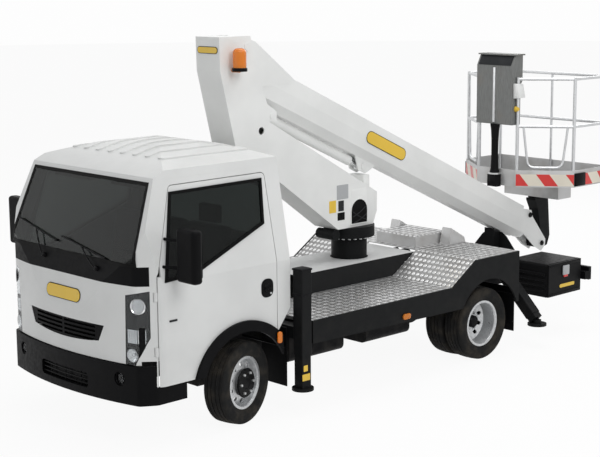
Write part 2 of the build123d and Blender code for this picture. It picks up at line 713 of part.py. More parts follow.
SPRING_HALF = 560.0
with BuildPart() as rear_axle:
    tube((FRONT_AXLE_X + REAR_AXLE, -REAR_WHEEL_Y + 150, TYRE_RADIUS), (FRONT_AXLE_X + REAR_AXLE, REAR_WHEEL_Y - 150, TYRE_RADIUS), 55)
    tube((FRONT_AXLE_X + REAR_AXLE, -REAR_WHEEL_Y - 80, TYRE_RADIUS), (FRONT_AXLE_X + REAR_AXLE, REAR_WHEEL_Y + 80, TYRE_RADIUS),
         SPINDLE_RADIUS)
    with BuildSketch(side(110)):
        with Locations((REAR_AXLE, TYRE_RADIUS)):
            Circle(150)
    extrude(amount=220)
    fillet(rear_axle.edges().filter_by(GeomType.CIRCLE).filter_by(lambda e: abs(e.radius - 150) < 1), 60)
    for hand in (1, -1):
        with BuildSketch(side(hand * (FRAME_WIDTH / 2 - RAIL_WIDTH))):
            with BuildLine():
                leaf = ThreePointArc((REAR_AXLE - SPRING_HALF, 440), (REAR_AXLE, TYRE_RADIUS + 50), (REAR_AXLE + SPRING_HALF, 440))
                under = ThreePointArc((REAR_AXLE + SPRING_HALF, 400), (REAR_AXLE, TYRE_RADIUS + 20), (REAR_AXLE - SPRING_HALF, 400))
                Line(leaf @ 1, under @ 0)
                Line(under @ 1, leaf @ 0)
            make_face()
            for end in (1, -1):
                with Locations((REAR_AXLE + end * (SPRING_HALF - 20), 440)):
                    Rectangle(50, 2 * (FRAME_TOP - RAIL_HEIGHT - 440))
        extrude(amount=-hand * RAIL_WIDTH)
save(rear_axle, "rear_axle")

for hand, name in ((1, "left"), (-1, "right")):
    axle_plane = wheel_plane(0, FRONT_WHEEL_Y, hand, STEER_REST_DEG)
    pivot = Vector(FRONT_AXLE_X, hand * KINGPIN_Y, TYRE_RADIUS)
    with BuildPart() as knuckle:
        for end in (1, -1):
            with BuildSketch(level(TYRE_RADIUS + end * (KNUCKLE_HEIGHT / 2 + SEAT_GAP))):
                with Locations((0, hand * KINGPIN_Y)):
                    Circle(34)
            extrude(amount=end * 40)
        with BuildSketch(Plane(origin=pivot, x_dir=axle_plane.z_dir, z_dir=axle_plane.x_dir).offset(45)):
            Rectangle(70, KNUCKLE_HEIGHT + 2 * SEAT_GAP + 80)
        extrude(amount=20)
        for end in (1, -1):
            with BuildSketch(Plane(origin=pivot + UP * end * (KNUCKLE_HEIGHT / 2 + SEAT_GAP), x_dir=axle_plane.x_dir)):
                with Locations((28, 0)):
                    Rectangle(60, 60)
            extrude(amount=end * 40)
        with BuildSketch(Plane(origin=pivot, x_dir=axle_plane.z_dir, z_dir=axle_plane.x_dir).offset(60)):
            Circle(SPINDLE_RADIUS)
        extrude(amount=FRONT_WHEEL_Y - KINGPIN_Y + 20)
        with BuildSketch(level(TYRE_RADIUS - KNUCKLE_HEIGHT / 2 - 60)):
            with Locations((0, hand * KINGPIN_Y)):
                Circle(KINGPIN_RADIUS + PIN_PLAY)
        extrude(amount=KNUCKLE_HEIGHT + 120, mode=Mode.SUBTRACT)
    save(knuckle, f"knuckle_{name}")


def tyre_profile(shift):
    """Half-section of a tyre, axial position by radius, closed at the beads."""
    half = TYRE_WIDTH / 2
    seat = RIM_WIDTH / 2 - 8 - SEAT_GAP
    bead = RIM_LIP_RADIUS - 16
    with BuildLine() as line:
        crown = ThreePointArc((shift - half + 26, TYRE_RADIUS - 4), (shift, TYRE_RADIUS), (shift + half - 26, TYRE_RADIUS - 4))
        wall_a = ThreePointArc(crown @ 1, (shift + half - 6, TYRE_RADIUS - 16), (shift + half - 1, TYRE_RADIUS - 44))
        wall_b = ThreePointArc(wall_a @ 1, (shift + half, TYRE_RADIUS - 75), (shift + seat + 8, RIM_LIP_RADIUS + 4))
        Polyline(wall_b @ 1, (shift + seat, RIM_LIP_RADIUS + 1), (shift + seat, bead), (shift + seat - 24, bead),
                 (shift + seat - 20, RIM_LIP_RADIUS + 10), (shift + half - 16, TYRE_RADIUS - 72),
                 (shift + half - 20, TYRE_RADIUS - 36), (shift + half - 40, TYRE_RADIUS - 18),
                 (shift - half + 40, TYRE_RADIUS - 18), (shift - half + 20, TYRE_RADIUS - 36),
                 (shift - half + 16, TYRE_RADIUS - 72), (shift - seat + 20, RIM_LIP_RADIUS + 10),
                 (shift - seat + 24, bead), (shift - seat, bead), (shift - seat, RIM_LIP_RADIUS + 1),
                 (shift - seat - 8, RIM_LIP_RADIUS + 4))
        wall_c = ThreePointArc((shift - seat - 8, RIM_LIP_RADIUS + 4), (shift - half, TYRE_RADIUS - 75),
                               (shift - half + 1, TYRE_RADIUS - 44))
        ThreePointArc(wall_c @ 1, (shift - half + 6, TYRE_RADIUS - 16), crown @ 0)
    return line.line


def rim_profile(shift, dish, hub_face):
    """Half-section of a steel wheel: well, two lips, and a disc dished to its hub face."""
    half = RIM_WIDTH / 2
    lip = RIM_LIP_RADIUS
    with BuildSketch(Plane.XY) as sketch:
        with BuildLine():
            Polyline((shift - half, lip), (shift - half + 7, lip), (shift - half + 7, lip - 17), (shift + half - 7, lip - 17),
                     (shift + half - 7, lip), (shift + half, lip), (shift + half, lip - 20), (shift + half - 12, lip - 26),
                     (shift - half + 12, lip - 26), (shift - half, lip - 20), close=True)
        make_face()
        with BuildLine():
            Polyline((dish - 5, lip - 24), (dish + 5, lip - 24), (hub_face + 5, 110), (hub_face + 5, SPINDLE_RADIUS + PIN_PLAY),
                     (hub_face - 7, SPINDLE_RADIUS + PIN_PLAY), (hub_face - 7, 105), close=True)
        make_face()
    return sketch.sketch


HAND_HOLES = 10
HAND_HOLE_RADIUS = 20.0
HAND_HOLE_CIRCLE = 150.0
WHEELS = (("front_left", 1, 0.0, FRONT_WHEEL_Y, STEER_REST_DEG, False), ("front_right", -1, 0.0, FRONT_WHEEL_Y, STEER_REST_DEG, False),
          ("rear_left", 1, REAR_AXLE, REAR_WHEEL_Y, 0.0, True), ("rear_right", -1, REAR_AXLE, REAR_WHEEL_Y, 0.0, True))
for name, hand, station, wheel_y, steer, twin in WHEELS:
    axle_plane = wheel_plane(station, wheel_y, hand, steer)
    axle = Axis(axle_plane.origin, axle_plane.x_dir)
    shifts = (TWIN_SPACING / 2, -TWIN_SPACING / 2) if twin else (0.0,)
    with BuildPart() as tyre:
        for shift in shifts:
            with BuildSketch(axle_plane):
                add(tyre_profile(shift))
                make_face()
            revolve(axis=axle)
    save(tyre, f"tyre_{name}")
    with BuildPart() as rim:
        for shift in shifts:
            inboard = math.copysign(1, shift)
            dish = shift - inboard * (RIM_WIDTH / 2 - 14) if twin else 20.0
            hub_face = inboard * 6.0 if twin else 48.0
            with BuildSketch(axle_plane):
                add(rim_profile(shift, dish, hub_face))
            revolve(axis=axle)
        with BuildSketch(Plane(origin=axle_plane.origin, x_dir=axle_plane.y_dir, z_dir=axle_plane.x_dir).offset(-TWIN_SPACING)):
            with PolarLocations(HAND_HOLE_CIRCLE, HAND_HOLES):
                Circle(HAND_HOLE_RADIUS)
        extrude(amount=2 * TWIN_SPACING, mode=Mode.SUBTRACT)
        with BuildSketch(Plane(origin=axle_plane.origin, x_dir=axle_plane.y_dir, z_dir=axle_plane.x_dir).offset(-60 if twin else -20)):
            Circle(105 if twin else 80)
            Circle(SPINDLE_RADIUS + PIN_PLAY, mode=Mode.SUBTRACT)
        extrude(amount=120 if twin else 110)
    save(rim, f"rim_{name}")

# Bed: side panels, tread-plate decks and the tunnel between them

DECK_INNER = TUNNEL_HALF + SEAT_GAP
with BuildPart() as side_panels:
    for hand in (1, -1):
        with BuildSketch(side(hand * (BED_HALF - PANEL_THICK))):
            with BuildLine():
                Polyline((BED_FRONT, 575), (BED_FRONT, DECK_Z), (RAMP_FRONT, DECK_Z), (RAMP_REAR, REAR_DECK_Z),
                         (BED_REAR, REAR_DECK_Z), (BED_REAR, 490), (BED_REAR + 100, 490), (REAR_AXLE, SKIRT_BOTTOM),
                         close=True)
            make_face()
            with Locations((REAR_AXLE, TYRE_RADIUS)):
                Circle(REAR_ARCH_RADIUS, mode=Mode.SUBTRACT)
        extrude(amount=-hand * PANEL_THICK)
save(side_panels, "side_panels")

NOTCH_HALF = JACK_TUBE / 2 + 8
with BuildPart() as deck_plates:
    for hand in (1, -1):
        deck = [(BED_FRONT, DECK_Z - DECK_PLATE), (RAMP_FRONT, DECK_Z - DECK_PLATE), (RAMP_REAR, REAR_DECK_Z - DECK_PLATE),
                (BED_REAR, REAR_DECK_Z - DECK_PLATE), (BED_REAR, REAR_DECK_Z), (RAMP_REAR - 2, REAR_DECK_Z),
                (RAMP_FRONT - 2, DECK_Z), (BED_FRONT, DECK_Z)]
        extrude(outline(deck, side(hand * DECK_INNER)), amount=-hand * (BED_HALF - PANEL_THICK - SEAT_GAP - DECK_INNER))
        block(BED_FRONT - 10, FRONT_JACK["s"] - NOTCH_HALF, hand * (FRONT_JACK["y"] - NOTCH_HALF), hand * BED_HALF,
              DECK_Z - 50, DECK_Z + 10, mode=Mode.SUBTRACT)
    block(BED_REAR, TUNNEL_REAR - 110, -DECK_INNER, DECK_INNER, REAR_DECK_Z - DECK_PLATE, REAR_DECK_Z)
    for station in (-760.0, -1500.0, -2300.0):
        for hand in (1, -1):
            block(station - 30, station + 30, hand * DECK_INNER, hand * (BED_HALF - PANEL_THICK - SEAT_GAP),
                  DECK_Z - DECK_PLATE - 50, DECK_Z - DECK_PLATE)
save(deck_plates, "deck_plates")

with BuildPart() as deck_tunnel:
    with BuildSketch(side(TUNNEL_HALF)):
        with BuildLine():
            Polyline((TUNNEL_FRONT, SUBFRAME_TOP), (TUNNEL_FRONT, TUNNEL_TOP), (TUNNEL_REAR + 160, TUNNEL_TOP),
                     (TUNNEL_REAR - 90, TUNNEL_TOP), (TUNNEL_REAR - 90, SUBFRAME_TOP), close=True)
        make_face()
    extrude(amount=2 * TUNNEL_HALF)
    with BuildSketch(side(TUNNEL_HALF - 8)):
        with BuildLine():
            Polyline((TUNNEL_FRONT + 8, FRAME_TOP), (TUNNEL_FRONT + 8, TUNNEL_TOP - 8),
                     (TUNNEL_REAR - 98, TUNNEL_TOP - 8), (TUNNEL_REAR - 98, FRAME_TOP), close=True)
        make_face()
    extrude(amount=2 * TUNNEL_HALF - 16, mode=Mode.SUBTRACT)
    with BuildSketch(level(TUNNEL_TOP - 20)):
        with Locations((SLEW_S, 0)):
            Circle(PEDESTAL_RADIUS + 10)
    extrude(amount=60, mode=Mode.SUBTRACT)
save(deck_tunnel, "deck_tunnel")

with BuildPart() as deck_boxes:
    chock = [(-3500, REAR_DECK_Z), (-3500 + 20, REAR_DECK_Z + 60), (-3300, REAR_DECK_Z + 160), (-3260, REAR_DECK_Z)]
    chock = [(s + 60, z) for s, z in chock]
    for y in (-330.0, 330.0):
        extrude(outline([(s + 120, z) for s, z in chock], side(y + 60)), amount=120)
    block(-3200, -2760, -250, 250, REAR_DECK_Z, REAR_DECK_Z + 110)
    fillet(deck_boxes.edges().group_by(Axis.Z)[-2], 12)
save(deck_boxes, "deck_boxes")

# Subframe on the chassis, with the jack housings

HOUSING = JACK_TUBE / 2
LEG = HOUSING - JACK_WALL - JACK_PLAY
REAR_LEAN = math.radians(REAR_JACK["angle"])
FRONT_LEG_TOP = FRONT_JACK["top"] - 160.0
REAR_LEG_LENGTH = 520.0
REAR_HOUSING = (70.0, 620.0)


def rear_jack_plane(hand, distance):
    """Plane square to a slanted rear leg, at a distance up the leg from its foot."""
    down = Vector(0, hand * math.sin(REAR_LEAN), -math.cos(REAR_LEAN))
    foot = Vector(FRONT_AXLE_X + REAR_JACK["s"], hand * REAR_JACK["y"], REAR_JACK["foot"])
    return Plane(origin=foot - down * distance, x_dir=(1, 0, 0), z_dir=-down)


with BuildPart() as subframe:
    for hand in (1, -1):
        block(-4140, -700, hand * (FRAME_WIDTH / 2 - RAIL_WIDTH), hand * (FRAME_WIDTH / 2 - 12), FRAME_TOP, SUBFRAME_TOP)
    block(FRONT_JACK["s"] - 50, FRONT_JACK["s"] + 50, -FRONT_JACK["y"] + HOUSING - 2, FRONT_JACK["y"] - HOUSING + 2,
          FRAME_TOP, FRAME_TOP + 100)
    block(-760, FRONT_JACK["s"], -FRAME_WIDTH / 2 + RAIL_WIDTH, FRAME_WIDTH / 2 - RAIL_WIDTH, FRAME_TOP, SUBFRAME_TOP)
    block(SLEW_S - 260, SLEW_S + 260, -FRAME_WIDTH / 2 + 20, FRAME_WIDTH / 2 - 20, FRAME_TOP, SUBFRAME_TOP)
    block(REAR_JACK["s"] - 50, REAR_JACK["s"] + 50, -660, 660, FRAME_TOP, SUBFRAME_TOP)
    for hand in (1, -1):
        with BuildSketch(level(FRONT_JACK["top"] - 700)):
            with Locations((FRONT_JACK["s"], hand * FRONT_JACK["y"])):
                RectangleRounded(JACK_TUBE, JACK_TUBE, 10)
        extrude(amount=700)
        with BuildSketch(rear_jack_plane(hand, REAR_HOUSING[0])):
            RectangleRounded(JACK_TUBE, JACK_TUBE, 10)
        extrude(amount=REAR_HOUSING[1] - REAR_HOUSING[0])
    for hand in (1, -1):
        with BuildSketch(level(FRONT_JACK["top"] - 710)):
            with Locations((FRONT_JACK["s"], hand * FRONT_JACK["y"])):
                RectangleRounded(2 * (LEG + JACK_PLAY), 2 * (LEG + JACK_PLAY), 6)
        extrude(amount=700, mode=Mode.SUBTRACT)
        with BuildSketch(rear_jack_plane(hand, REAR_HOUSING[0] - 10)):
            RectangleRounded(2 * (LEG + JACK_PLAY), 2 * (LEG + JACK_PLAY), 6)
        extrude(amount=REAR_HOUSING[1] - REAR_HOUSING[0], mode=Mode.SUBTRACT)
save(subframe, "subframe")

for hand, name in ((1, "left"), (-1, "right")):
    with BuildPart() as jack:
        with BuildSketch(level(FRONT_JACK["foot"] + PAD_THICK)):
            with Locations((FRONT_JACK["s"], hand * FRONT_JACK["y"])):
                RectangleRounded(2 * LEG, 2 * LEG, 5)
        extrude(amount=FRONT_LEG_TOP - FRONT_JACK["foot"] - PAD_THICK)
        with BuildSketch(level(FRONT_JACK["foot"])):
            with Locations((FRONT_JACK["s"], hand * FRONT_JACK["y"])):
                Circle(PAD_RADIUS)
        extrude(amount=PAD_THICK)
    save(jack, f"jack_front_{name}")
    with BuildPart() as jack:
        with BuildSketch(rear_jack_plane(hand, 20)):
            RectangleRounded(2 * LEG, 2 * LEG, 5)
        extrude(amount=REAR_LEG_LENGTH - 20)
        with BuildSketch(level(REAR_JACK["foot"] - 40)):
            with Locations((REAR_JACK["s"], hand * REAR_JACK["y"])):
                Circle(PAD_RADIUS)
        extrude(amount=PAD_THICK)
        with BuildSketch(level(REAR_JACK["foot"] - 40)):
            with Locations((REAR_JACK["s"], hand * REAR_JACK["y"])):
                Circle(40)
        extrude(amount=55)
    save(jack, f"jack_rear_{name}")

# Pedestal and turret

RING_HEIGHT = 70.0
with BuildPart() as pedestal:
    with BuildSketch(level(SUBFRAME_TOP)):
        with Locations((SLEW_S, 0)):
            Circle(PEDESTAL_RADIUS)
            Circle(PEDESTAL_RADIUS - 14, mode=Mode.SUBTRACT)
    extrude(amount=SLEW_TOP - RING_HEIGHT - 30 - SUBFRAME_TOP)
    with BuildSketch(level(SLEW_TOP - RING_HEIGHT - 30)):
        with Locations((SLEW_S, 0)):
            Circle(SLEW_RADIUS)
            Circle(60, mode=Mode.SUBTRACT)
    extrude(amount=30 - SEAT_GAP)
save(pedestal, "pedestal")

with BuildPart() as slew_ring:
    with BuildSketch(level(SLEW_TOP - RING_HEIGHT)):
        with Locations((SLEW_S, 0)):
            Circle(SLEW_RADIUS)
            Circle(60, mode=Mode.SUBTRACT)
    extrude(amount=RING_HEIGHT)
    tube((FRONT_AXLE_X + SLEW_S + SLEW_RADIUS - 40, 0, SLEW_TOP - 36), (FRONT_AXLE_X + SLEW_S + SLEW_RADIUS + 60, 0, SLEW_TOP - 36), 33)
    tube((FRONT_AXLE_X + SLEW_S + SLEW_RADIUS + 60, -90, SLEW_TOP - 54), (FRONT_AXLE_X + SLEW_S + SLEW_RADIUS + 60, 130, SLEW_TOP - 54), 48)
save(slew_ring, "slew_ring")

LIFT_FOOT_AT = boom_point(*LIFT_FOOT)
LIFT_EYE_AT = boom_point(*LIFT_EYE)
HEAD_FRONT = -460.0
HEAD_BACK = -800.0
NECK_FOOT = (-620.0, 2110.0)
CHEEK_BACK = (-1000.0, 2290.0)
TURRET_TAIL = (-2336.0, 1543.0)
turret_outline = [(SLEW_S - 165, SLEW_TOP), (SLEW_S + 290, SLEW_TOP), (-1200, 1700), NECK_FOOT, (-466, 2740), (HEAD_FRONT, HEAD_TOP),
                  (HEAD_BACK, HEAD_TOP), (-880, 2720), (-985, 2440), (-1090, 2370), (-1090, 2290), CHEEK_BACK, TURRET_TAIL,
                  (SLEW_S - 215, SLEW_TOP + 120)]
with BuildPart() as turret:
    extrude(outline(turret_outline, side()), amount=TURRET_HALF, both=True)
    with BuildSketch(side()):
        with BuildLine():
            Polyline(*turret_outline, close=True)
        make_face()
        offset(amount=-TURRET_PLATE, mode=Mode.REPLACE)
        with BuildLine():
            Polyline((HEAD_BACK + 30, HEAD_TOP - TURRET_PLATE), (HEAD_BACK - 300, HEAD_TOP - TURRET_PLATE), (-1200, 2260),
                     (-1000, 2262), (-800, 2200), close=True)
        make_face()
    extrude(amount=TURRET_HALF - TURRET_PLATE, both=True, mode=Mode.SUBTRACT)
    block(HEAD_BACK - 200, HEAD_BACK + 130, -TURRET_HALF + TURRET_PLATE, TURRET_HALF - TURRET_PLATE, HEAD_TOP - 40, HEAD_TOP + 20,
          mode=Mode.SUBTRACT)
    with BuildSketch(side()):
        with Locations((-914, 2217.5)):
            Circle(32)
        with Locations((SLEW_S + 10, 1440)):
            SlotOverall(210, 130, rotation=90)
    extrude(amount=TURRET_HALF + 10, both=True, mode=Mode.SUBTRACT)
    for point, radius in ((PIVOT, PIVOT_PIN), (LIFT_FOOT_AT, LIFT_PIN)):
        tube(point + Vector(0, -TURRET_HALF - 6, 0), point + Vector(0, TURRET_HALF + 6, 0), radius)
save(turret, "turret")

with BuildPart() as beacon:
    with BuildSketch(level(2740)):
        with Locations((-600, TURRET_HALF + 90)):
            Circle(62)
    extrude(amount=20)
    with BuildSketch(level(2760)):
        with Locations((-600, TURRET_HALF + 90)):
            Circle(56)
    extrude(amount=170)
    fillet(beacon.edges().group_by(Axis.Z)[-1], 40)
    tube((FRONT_AXLE_X - 600, TURRET_HALF, 2745), (FRONT_AXLE_X - 600, TURRET_HALF + 90, 2745), 16)
save(beacon, "beacon")

# Boom and its two telescopic stages

STAGE_STEP = BOOM_WALL + STAGE_GAP
CREASE_LEAN = 5.0
BEVEL_LEAN = 8.0


def stage_face(stage, inset, along):
    """Cross-section of one boom stage: upright sides with a shallow crease and bevelled lower corners."""
    half = BOOM_WIDTH / 2
    foot = BOOM_TOP - BOOM_DEPTH
    right = [(half - CREASE_LEAN, BOOM_TOP), (half, BOOM_TOP - BOOM_CREASE), (half - BEVEL_LEAN, foot + BOOM_BEVEL),
             (half - BOOM_BEVEL, foot)]
    with BuildSketch(boom_section(along)) as sketch:
        with BuildLine():
            Polyline(*right, *[(-across, above) for across, above in reversed(right)], close=True)
        make_face()
        if stage * STAGE_STEP + inset:
            offset(amount=-stage * STAGE_STEP - inset, kind=Kind.INTERSECTION, mode=Mode.REPLACE)
    return sketch.sketch


def stage_bar(stage, base, end):
    """Add one stage's section, still solid, between two stations to the part in hand."""
    extrude(stage_face(stage, 0, base), amount=end - base)


def slide_pads(stage, start, length):
    """Add the wear pads round a stage that run just clear of the stage outside it."""
    extrude(stage_face(stage, -STAGE_GAP + STAGE_PLAY, start), amount=length)


def stage_hollow(stage, base, end):
    """Cut the inside of a stage out of the part in hand."""
    extrude(stage_face(stage, BOOM_WALL, base - 1), amount=end - base + 2, mode=Mode.SUBTRACT)


PAD_LENGTH = 90.0
EAR_PLATE = 14.0
with BuildPart() as boom_outer:
    stage_bar(0, BOOM_BASE, BOOM_END)
    for hand in (1, -1):
        with BuildSketch(boom_side().offset(hand * (BOOM_WIDTH / 2 - EAR_PLATE))):
            with BuildLine():
                Polyline((-60, 62), (80, 80), (620, BOOM_TOP), (620, BOOM_TOP - 40), (BOOM_BASE, BOOM_TOP - BOOM_DEPTH + BOOM_BEVEL),
                         (BOOM_BASE - 60, -220), (-85, -20), close=True)
            make_face()
            Circle(PIVOT_PIN + PIN_PLAY, mode=Mode.SUBTRACT)
        extrude(amount=hand * EAR_PLATE)
        with BuildSketch(boom_side().offset(hand * LUG_GAP)):
            with BuildLine():
                Polyline((LIFT_EYE[0] - 150, BOOM_TOP - BOOM_DEPTH + 4), (LIFT_EYE[0] - 50, LIFT_EYE[1] - 50), (LIFT_EYE[0] + 50, LIFT_EYE[1] - 50),
                         (LIFT_EYE[0] + 150, BOOM_TOP - BOOM_DEPTH + 4), close=True)
            make_face()
        extrude(amount=hand * LUG_PLATE)
        with BuildSketch(boom_side().offset(hand * (LUG_GAP + LUG_PLATE))):
            with Locations(LIFT_EYE):
                Circle(34)
        extrude(amount=hand * 10)
    stage_hollow(0, BOOM_BASE, BOOM_END)
save(boom_outer, "boom_outer")

with BuildPart() as boom_stage_1:
    stage_bar(1, STAGE_1_BASE, STAGE_1_END)
    slide_pads(1, STAGE_1_BASE, PAD_LENGTH)
    stage_hollow(1, STAGE_1_BASE, STAGE_1_END)
save(boom_stage_1, "boom_stage_1")

NOSE_PLATE = 14.0
NOSE_RADIUS = 75.0
with BuildPart() as boom_stage_2:
    stage_bar(2, STAGE_2_BASE, STAGE_2_END)
    slide_pads(2, STAGE_2_BASE, PAD_LENGTH)
    stage_hollow(2, STAGE_2_BASE, STAGE_2_END)
    width = BOOM_WIDTH - 4 * STAGE_STEP
    depth = BOOM_DEPTH - 4 * STAGE_STEP
    top = BOOM_TOP - 2 * STAGE_STEP
    for hand in (1, -1):
        with BuildSketch(boom_side().offset(hand * (width / 2 - 8 - NOSE_PLATE))):
            with BuildLine():
                tail = STAGE_2_END - 90
                Polyline((tail, top + 30), (NOSE_UPPER[0] + 10, NOSE_UPPER[1] + 55), (NOSE_UPPER[0] + 60, NOSE_UPPER[1]),
                         (NOSE_LOWER[0] + 55, NOSE_LOWER[1] + 60), (NOSE_LOWER[0] + NOSE_RADIUS, NOSE_LOWER[1]),
                         (NOSE_LOWER[0] + 40, NOSE_LOWER[1] - NOSE_RADIUS), (NOSE_LOWER[0] - 100, NOSE_LOWER[1] - NOSE_RADIUS + 10),
                         (tail, top - depth + BOOM_BEVEL), close=True)
            make_face()
        extrude(amount=hand * NOSE_PLATE)
    for along, above in (NOSE_UPPER, NOSE_LOWER):
        reach = width / 2 - 8 + 10
        tube(boom_point(along, above) + Vector(0, -reach, 0), boom_point(along, above) + Vector(0, reach, 0), NOSE_PIN)
save(boom_stage_2, "boom_stage_2")

# Lift cylinder, from the turret's lug to the boom's lug

LIFT_ALONG = (LIFT_EYE_AT - LIFT_FOOT_AT).normalized()
LIFT_LENGTH = (LIFT_EYE_AT - LIFT_FOOT_AT).length
BARREL_LENGTH = LIFT_LENGTH - ROD_SHOWING


def lift_plane(distance):
    """Plane square to the lift cylinder at a distance from its foot pin."""
    return Plane(origin=LIFT_FOOT_AT + LIFT_ALONG * distance, x_dir=(0, 1, 0), z_dir=LIFT_ALONG)


with BuildPart() as lift_barrel:
    with BuildSketch(lift_plane(70)):
        Circle(BARREL_RADIUS)
        Circle(BARREL_BORE, mode=Mode.SUBTRACT)
    extrude(amount=BARREL_LENGTH - 70)
    with BuildSketch(lift_plane(50)):
        Circle(BARREL_RADIUS)
    extrude(amount=30)
    with BuildSketch(lift_plane(BARREL_LENGTH - 50)):
        Circle(BARREL_RADIUS)
        Circle(ROD_RADIUS + PIN_PLAY, mode=Mode.SUBTRACT)
    extrude(amount=50)
    tube(LIFT_FOOT_AT + Vector(0, -60, 0), LIFT_FOOT_AT + Vector(0, 60, 0), BARREL_RADIUS)
    with BuildSketch(lift_plane(0)):
        Rectangle(80, 60)
    extrude(amount=60)
    with BuildSketch(Plane(origin=LIFT_FOOT_AT, x_dir=LIFT_ALONG, z_dir=(0, 1, 0))):
        Circle(LIFT_PIN + PIN_PLAY)
    extrude(amount=80, both=True, mode=Mode.SUBTRACT)
save(lift_barrel, "lift_barrel")

with BuildPart() as lift_rod:
    with BuildSketch(lift_plane(PISTON_START)):
        Circle(BARREL_BORE - PIN_PLAY)
    extrude(amount=40)
    with BuildSketch(lift_plane(PISTON_START)):
        Circle(ROD_RADIUS)
    extrude(amount=LIFT_LENGTH - PISTON_START - 20)
    tube(LIFT_EYE_AT + Vector(0, -LUG_GAP + 4, 0), LIFT_EYE_AT + Vector(0, LUG_GAP - 4, 0), 42)
save(lift_rod, "lift_rod")

# Basket

NOSE_AT = boom_point(*NOSE_LOWER)
LINK_HALF = 60.0
with BuildPart() as basket_link:
    nose_s = NOSE_AT.X - FRONT_AXLE_X
    with BuildSketch(side()):
        with BuildLine():
            Polyline((nose_s - 30, NOSE_AT.Z - 62), (nose_s + 55, NOSE_AT.Z - 40), (nose_s + 62, NOSE_AT.Z + 20), (nose_s - 20, NOSE_AT.Z + 140),
                     (SWIVEL_S + 60, SWIVEL_Z - 130), (SWIVEL_S + 110, SWIVEL_Z - 40), (SWIVEL_S + 110, SWIVEL_Z - 20), (SWIVEL_S - 110, SWIVEL_Z - 20),
                     (SWIVEL_S - 150, NOSE_AT.Z + 60), (SWIVEL_S - 110, NOSE_AT.Z - 40), close=True)
        make_face()
        with Locations((nose_s, NOSE_AT.Z)):
            Circle(NOSE_PIN + PIN_PLAY, mode=Mode.SUBTRACT)
    extrude(amount=LINK_HALF, both=True)
    with BuildSketch(level(SWIVEL_Z - 20)):
        with Locations((SWIVEL_S, 0)):
            Circle(SWIVEL_RADIUS)
    extrude(amount=20 - SEAT_GAP)
    with BuildSketch(level(SWIVEL_Z - 20)):
        with Locations((SWIVEL_S, 0)):
            Circle(30)
    extrude(amount=90)
save(basket_link, "basket_link")

basket_points = [(BASKET_FRONT, -BASKET_NOSE_HALF), (BASKET_FRONT, BASKET_NOSE_HALF), (BASKET_CORNER, BASKET_HALF), (BASKET_REAR, BASKET_HALF),
                 (BASKET_REAR, -BASKET_HALF), (BASKET_CORNER, -BASKET_HALF)]
with BuildPart() as basket_floor:
    floor_face = outline(basket_points, level(BASKET_FLOOR))
    extrude(floor_face, amount=TOE_BOARD)
    with BuildSketch(level(BASKET_FLOOR + FLOOR_PLATE)):
        with BuildLine():
            Polyline(*basket_points, close=True)
        make_face()
        offset(amount=-TOE_PLATE, kind=Kind.INTERSECTION, mode=Mode.REPLACE)
    extrude(amount=TOE_BOARD, mode=Mode.SUBTRACT)
    block(SWIVEL_S - 110, SWIVEL_S + 110, -350, 350, SWIVEL_Z, BASKET_FLOOR)
    with BuildSketch(level(SWIVEL_Z - 1)):
        with Locations((SWIVEL_S, 0)):
            Circle(30 + PIN_PLAY)
    extrude(amount=80, mode=Mode.SUBTRACT)
save(basket_floor, "basket_floor")

POST_INSET = TOE_PLATE + TUBE_RADIUS + SEAT_GAP
with BuildSketch(level(0)) as post_ring:
    with BuildLine():
        Polyline(*basket_points, close=True)
    make_face()
    offset(amount=-POST_INSET, kind=Kind.INTERSECTION, mode=Mode.REPLACE)
corners = post_ring.sketch.vertices()
ring = sorted(((v.X, v.Y) for v in corners), key=lambda c: math.atan2(c[1], c[0] - FRONT_AXLE_X - SWIVEL_S))
FLOOR_TOP = BASKET_FLOOR + FLOOR_PLATE
with BuildPart() as basket_rails:
    for (x0, y0), (x1, y1) in zip(ring, ring[1:] + ring[:1]):
        tube((x0, y0, FLOOR_TOP), (x0, y0, BASKET_FLOOR + BASKET_RAIL), TUBE_RADIUS)
        if min(x0, x1) < FRONT_AXLE_X + BASKET_FRONT - 100:
            for height in (BASKET_MID, BASKET_RAIL - TUBE_RADIUS):
                tube((x0, y0, BASKET_FLOOR + height), (x1, y1, BASKET_FLOOR + height), RAIL_RADIUS)
            if abs(x0 - x1) < 1:
                middle = (y0 + y1) / 2
                tube((x0, middle, FLOOR_TOP), (x0, middle, BASKET_FLOOR + BASKET_RAIL - TUBE_RADIUS), STRUT_RADIUS)
    for hand in (1, -1):
        near = Vector(*[(x, y) for x, y in ring if y * hand > 0 and x > FRONT_AXLE_X + BASKET_FRONT - 100][0])
        far = Vector(*[(x, y) for x, y in ring if y * hand > 0 and FRONT_AXLE_X + BASKET_REAR + 200 < x
                       < FRONT_AXLE_X + BASKET_FRONT - 100][0])
        along = (far - near).normalized()
        span = (far - near).length
        bar_plane = Plane(origin=(near.X, near.Y, FLOOR_TOP), x_dir=along, z_dir=along.cross(UP))
        with BuildLine(bar_plane) as bar:
            FilletPolyline((DROP_BAR_END, BASKET_MID - FLOOR_PLATE), (DROP_BAR_LEAN, DROP_BAR_FOOT),
                           (span - DROP_BAR_LEAN, DROP_BAR_FOOT), (span - DROP_BAR_END, BASKET_MID - FLOOR_PLATE), radius=70)
        with BuildSketch(Plane(origin=bar.line @ 0, z_dir=bar.line % 0)):
            Circle(STRUT_RADIUS - 1)
        sweep(path=bar.line)
save(basket_rails, "basket_rails")

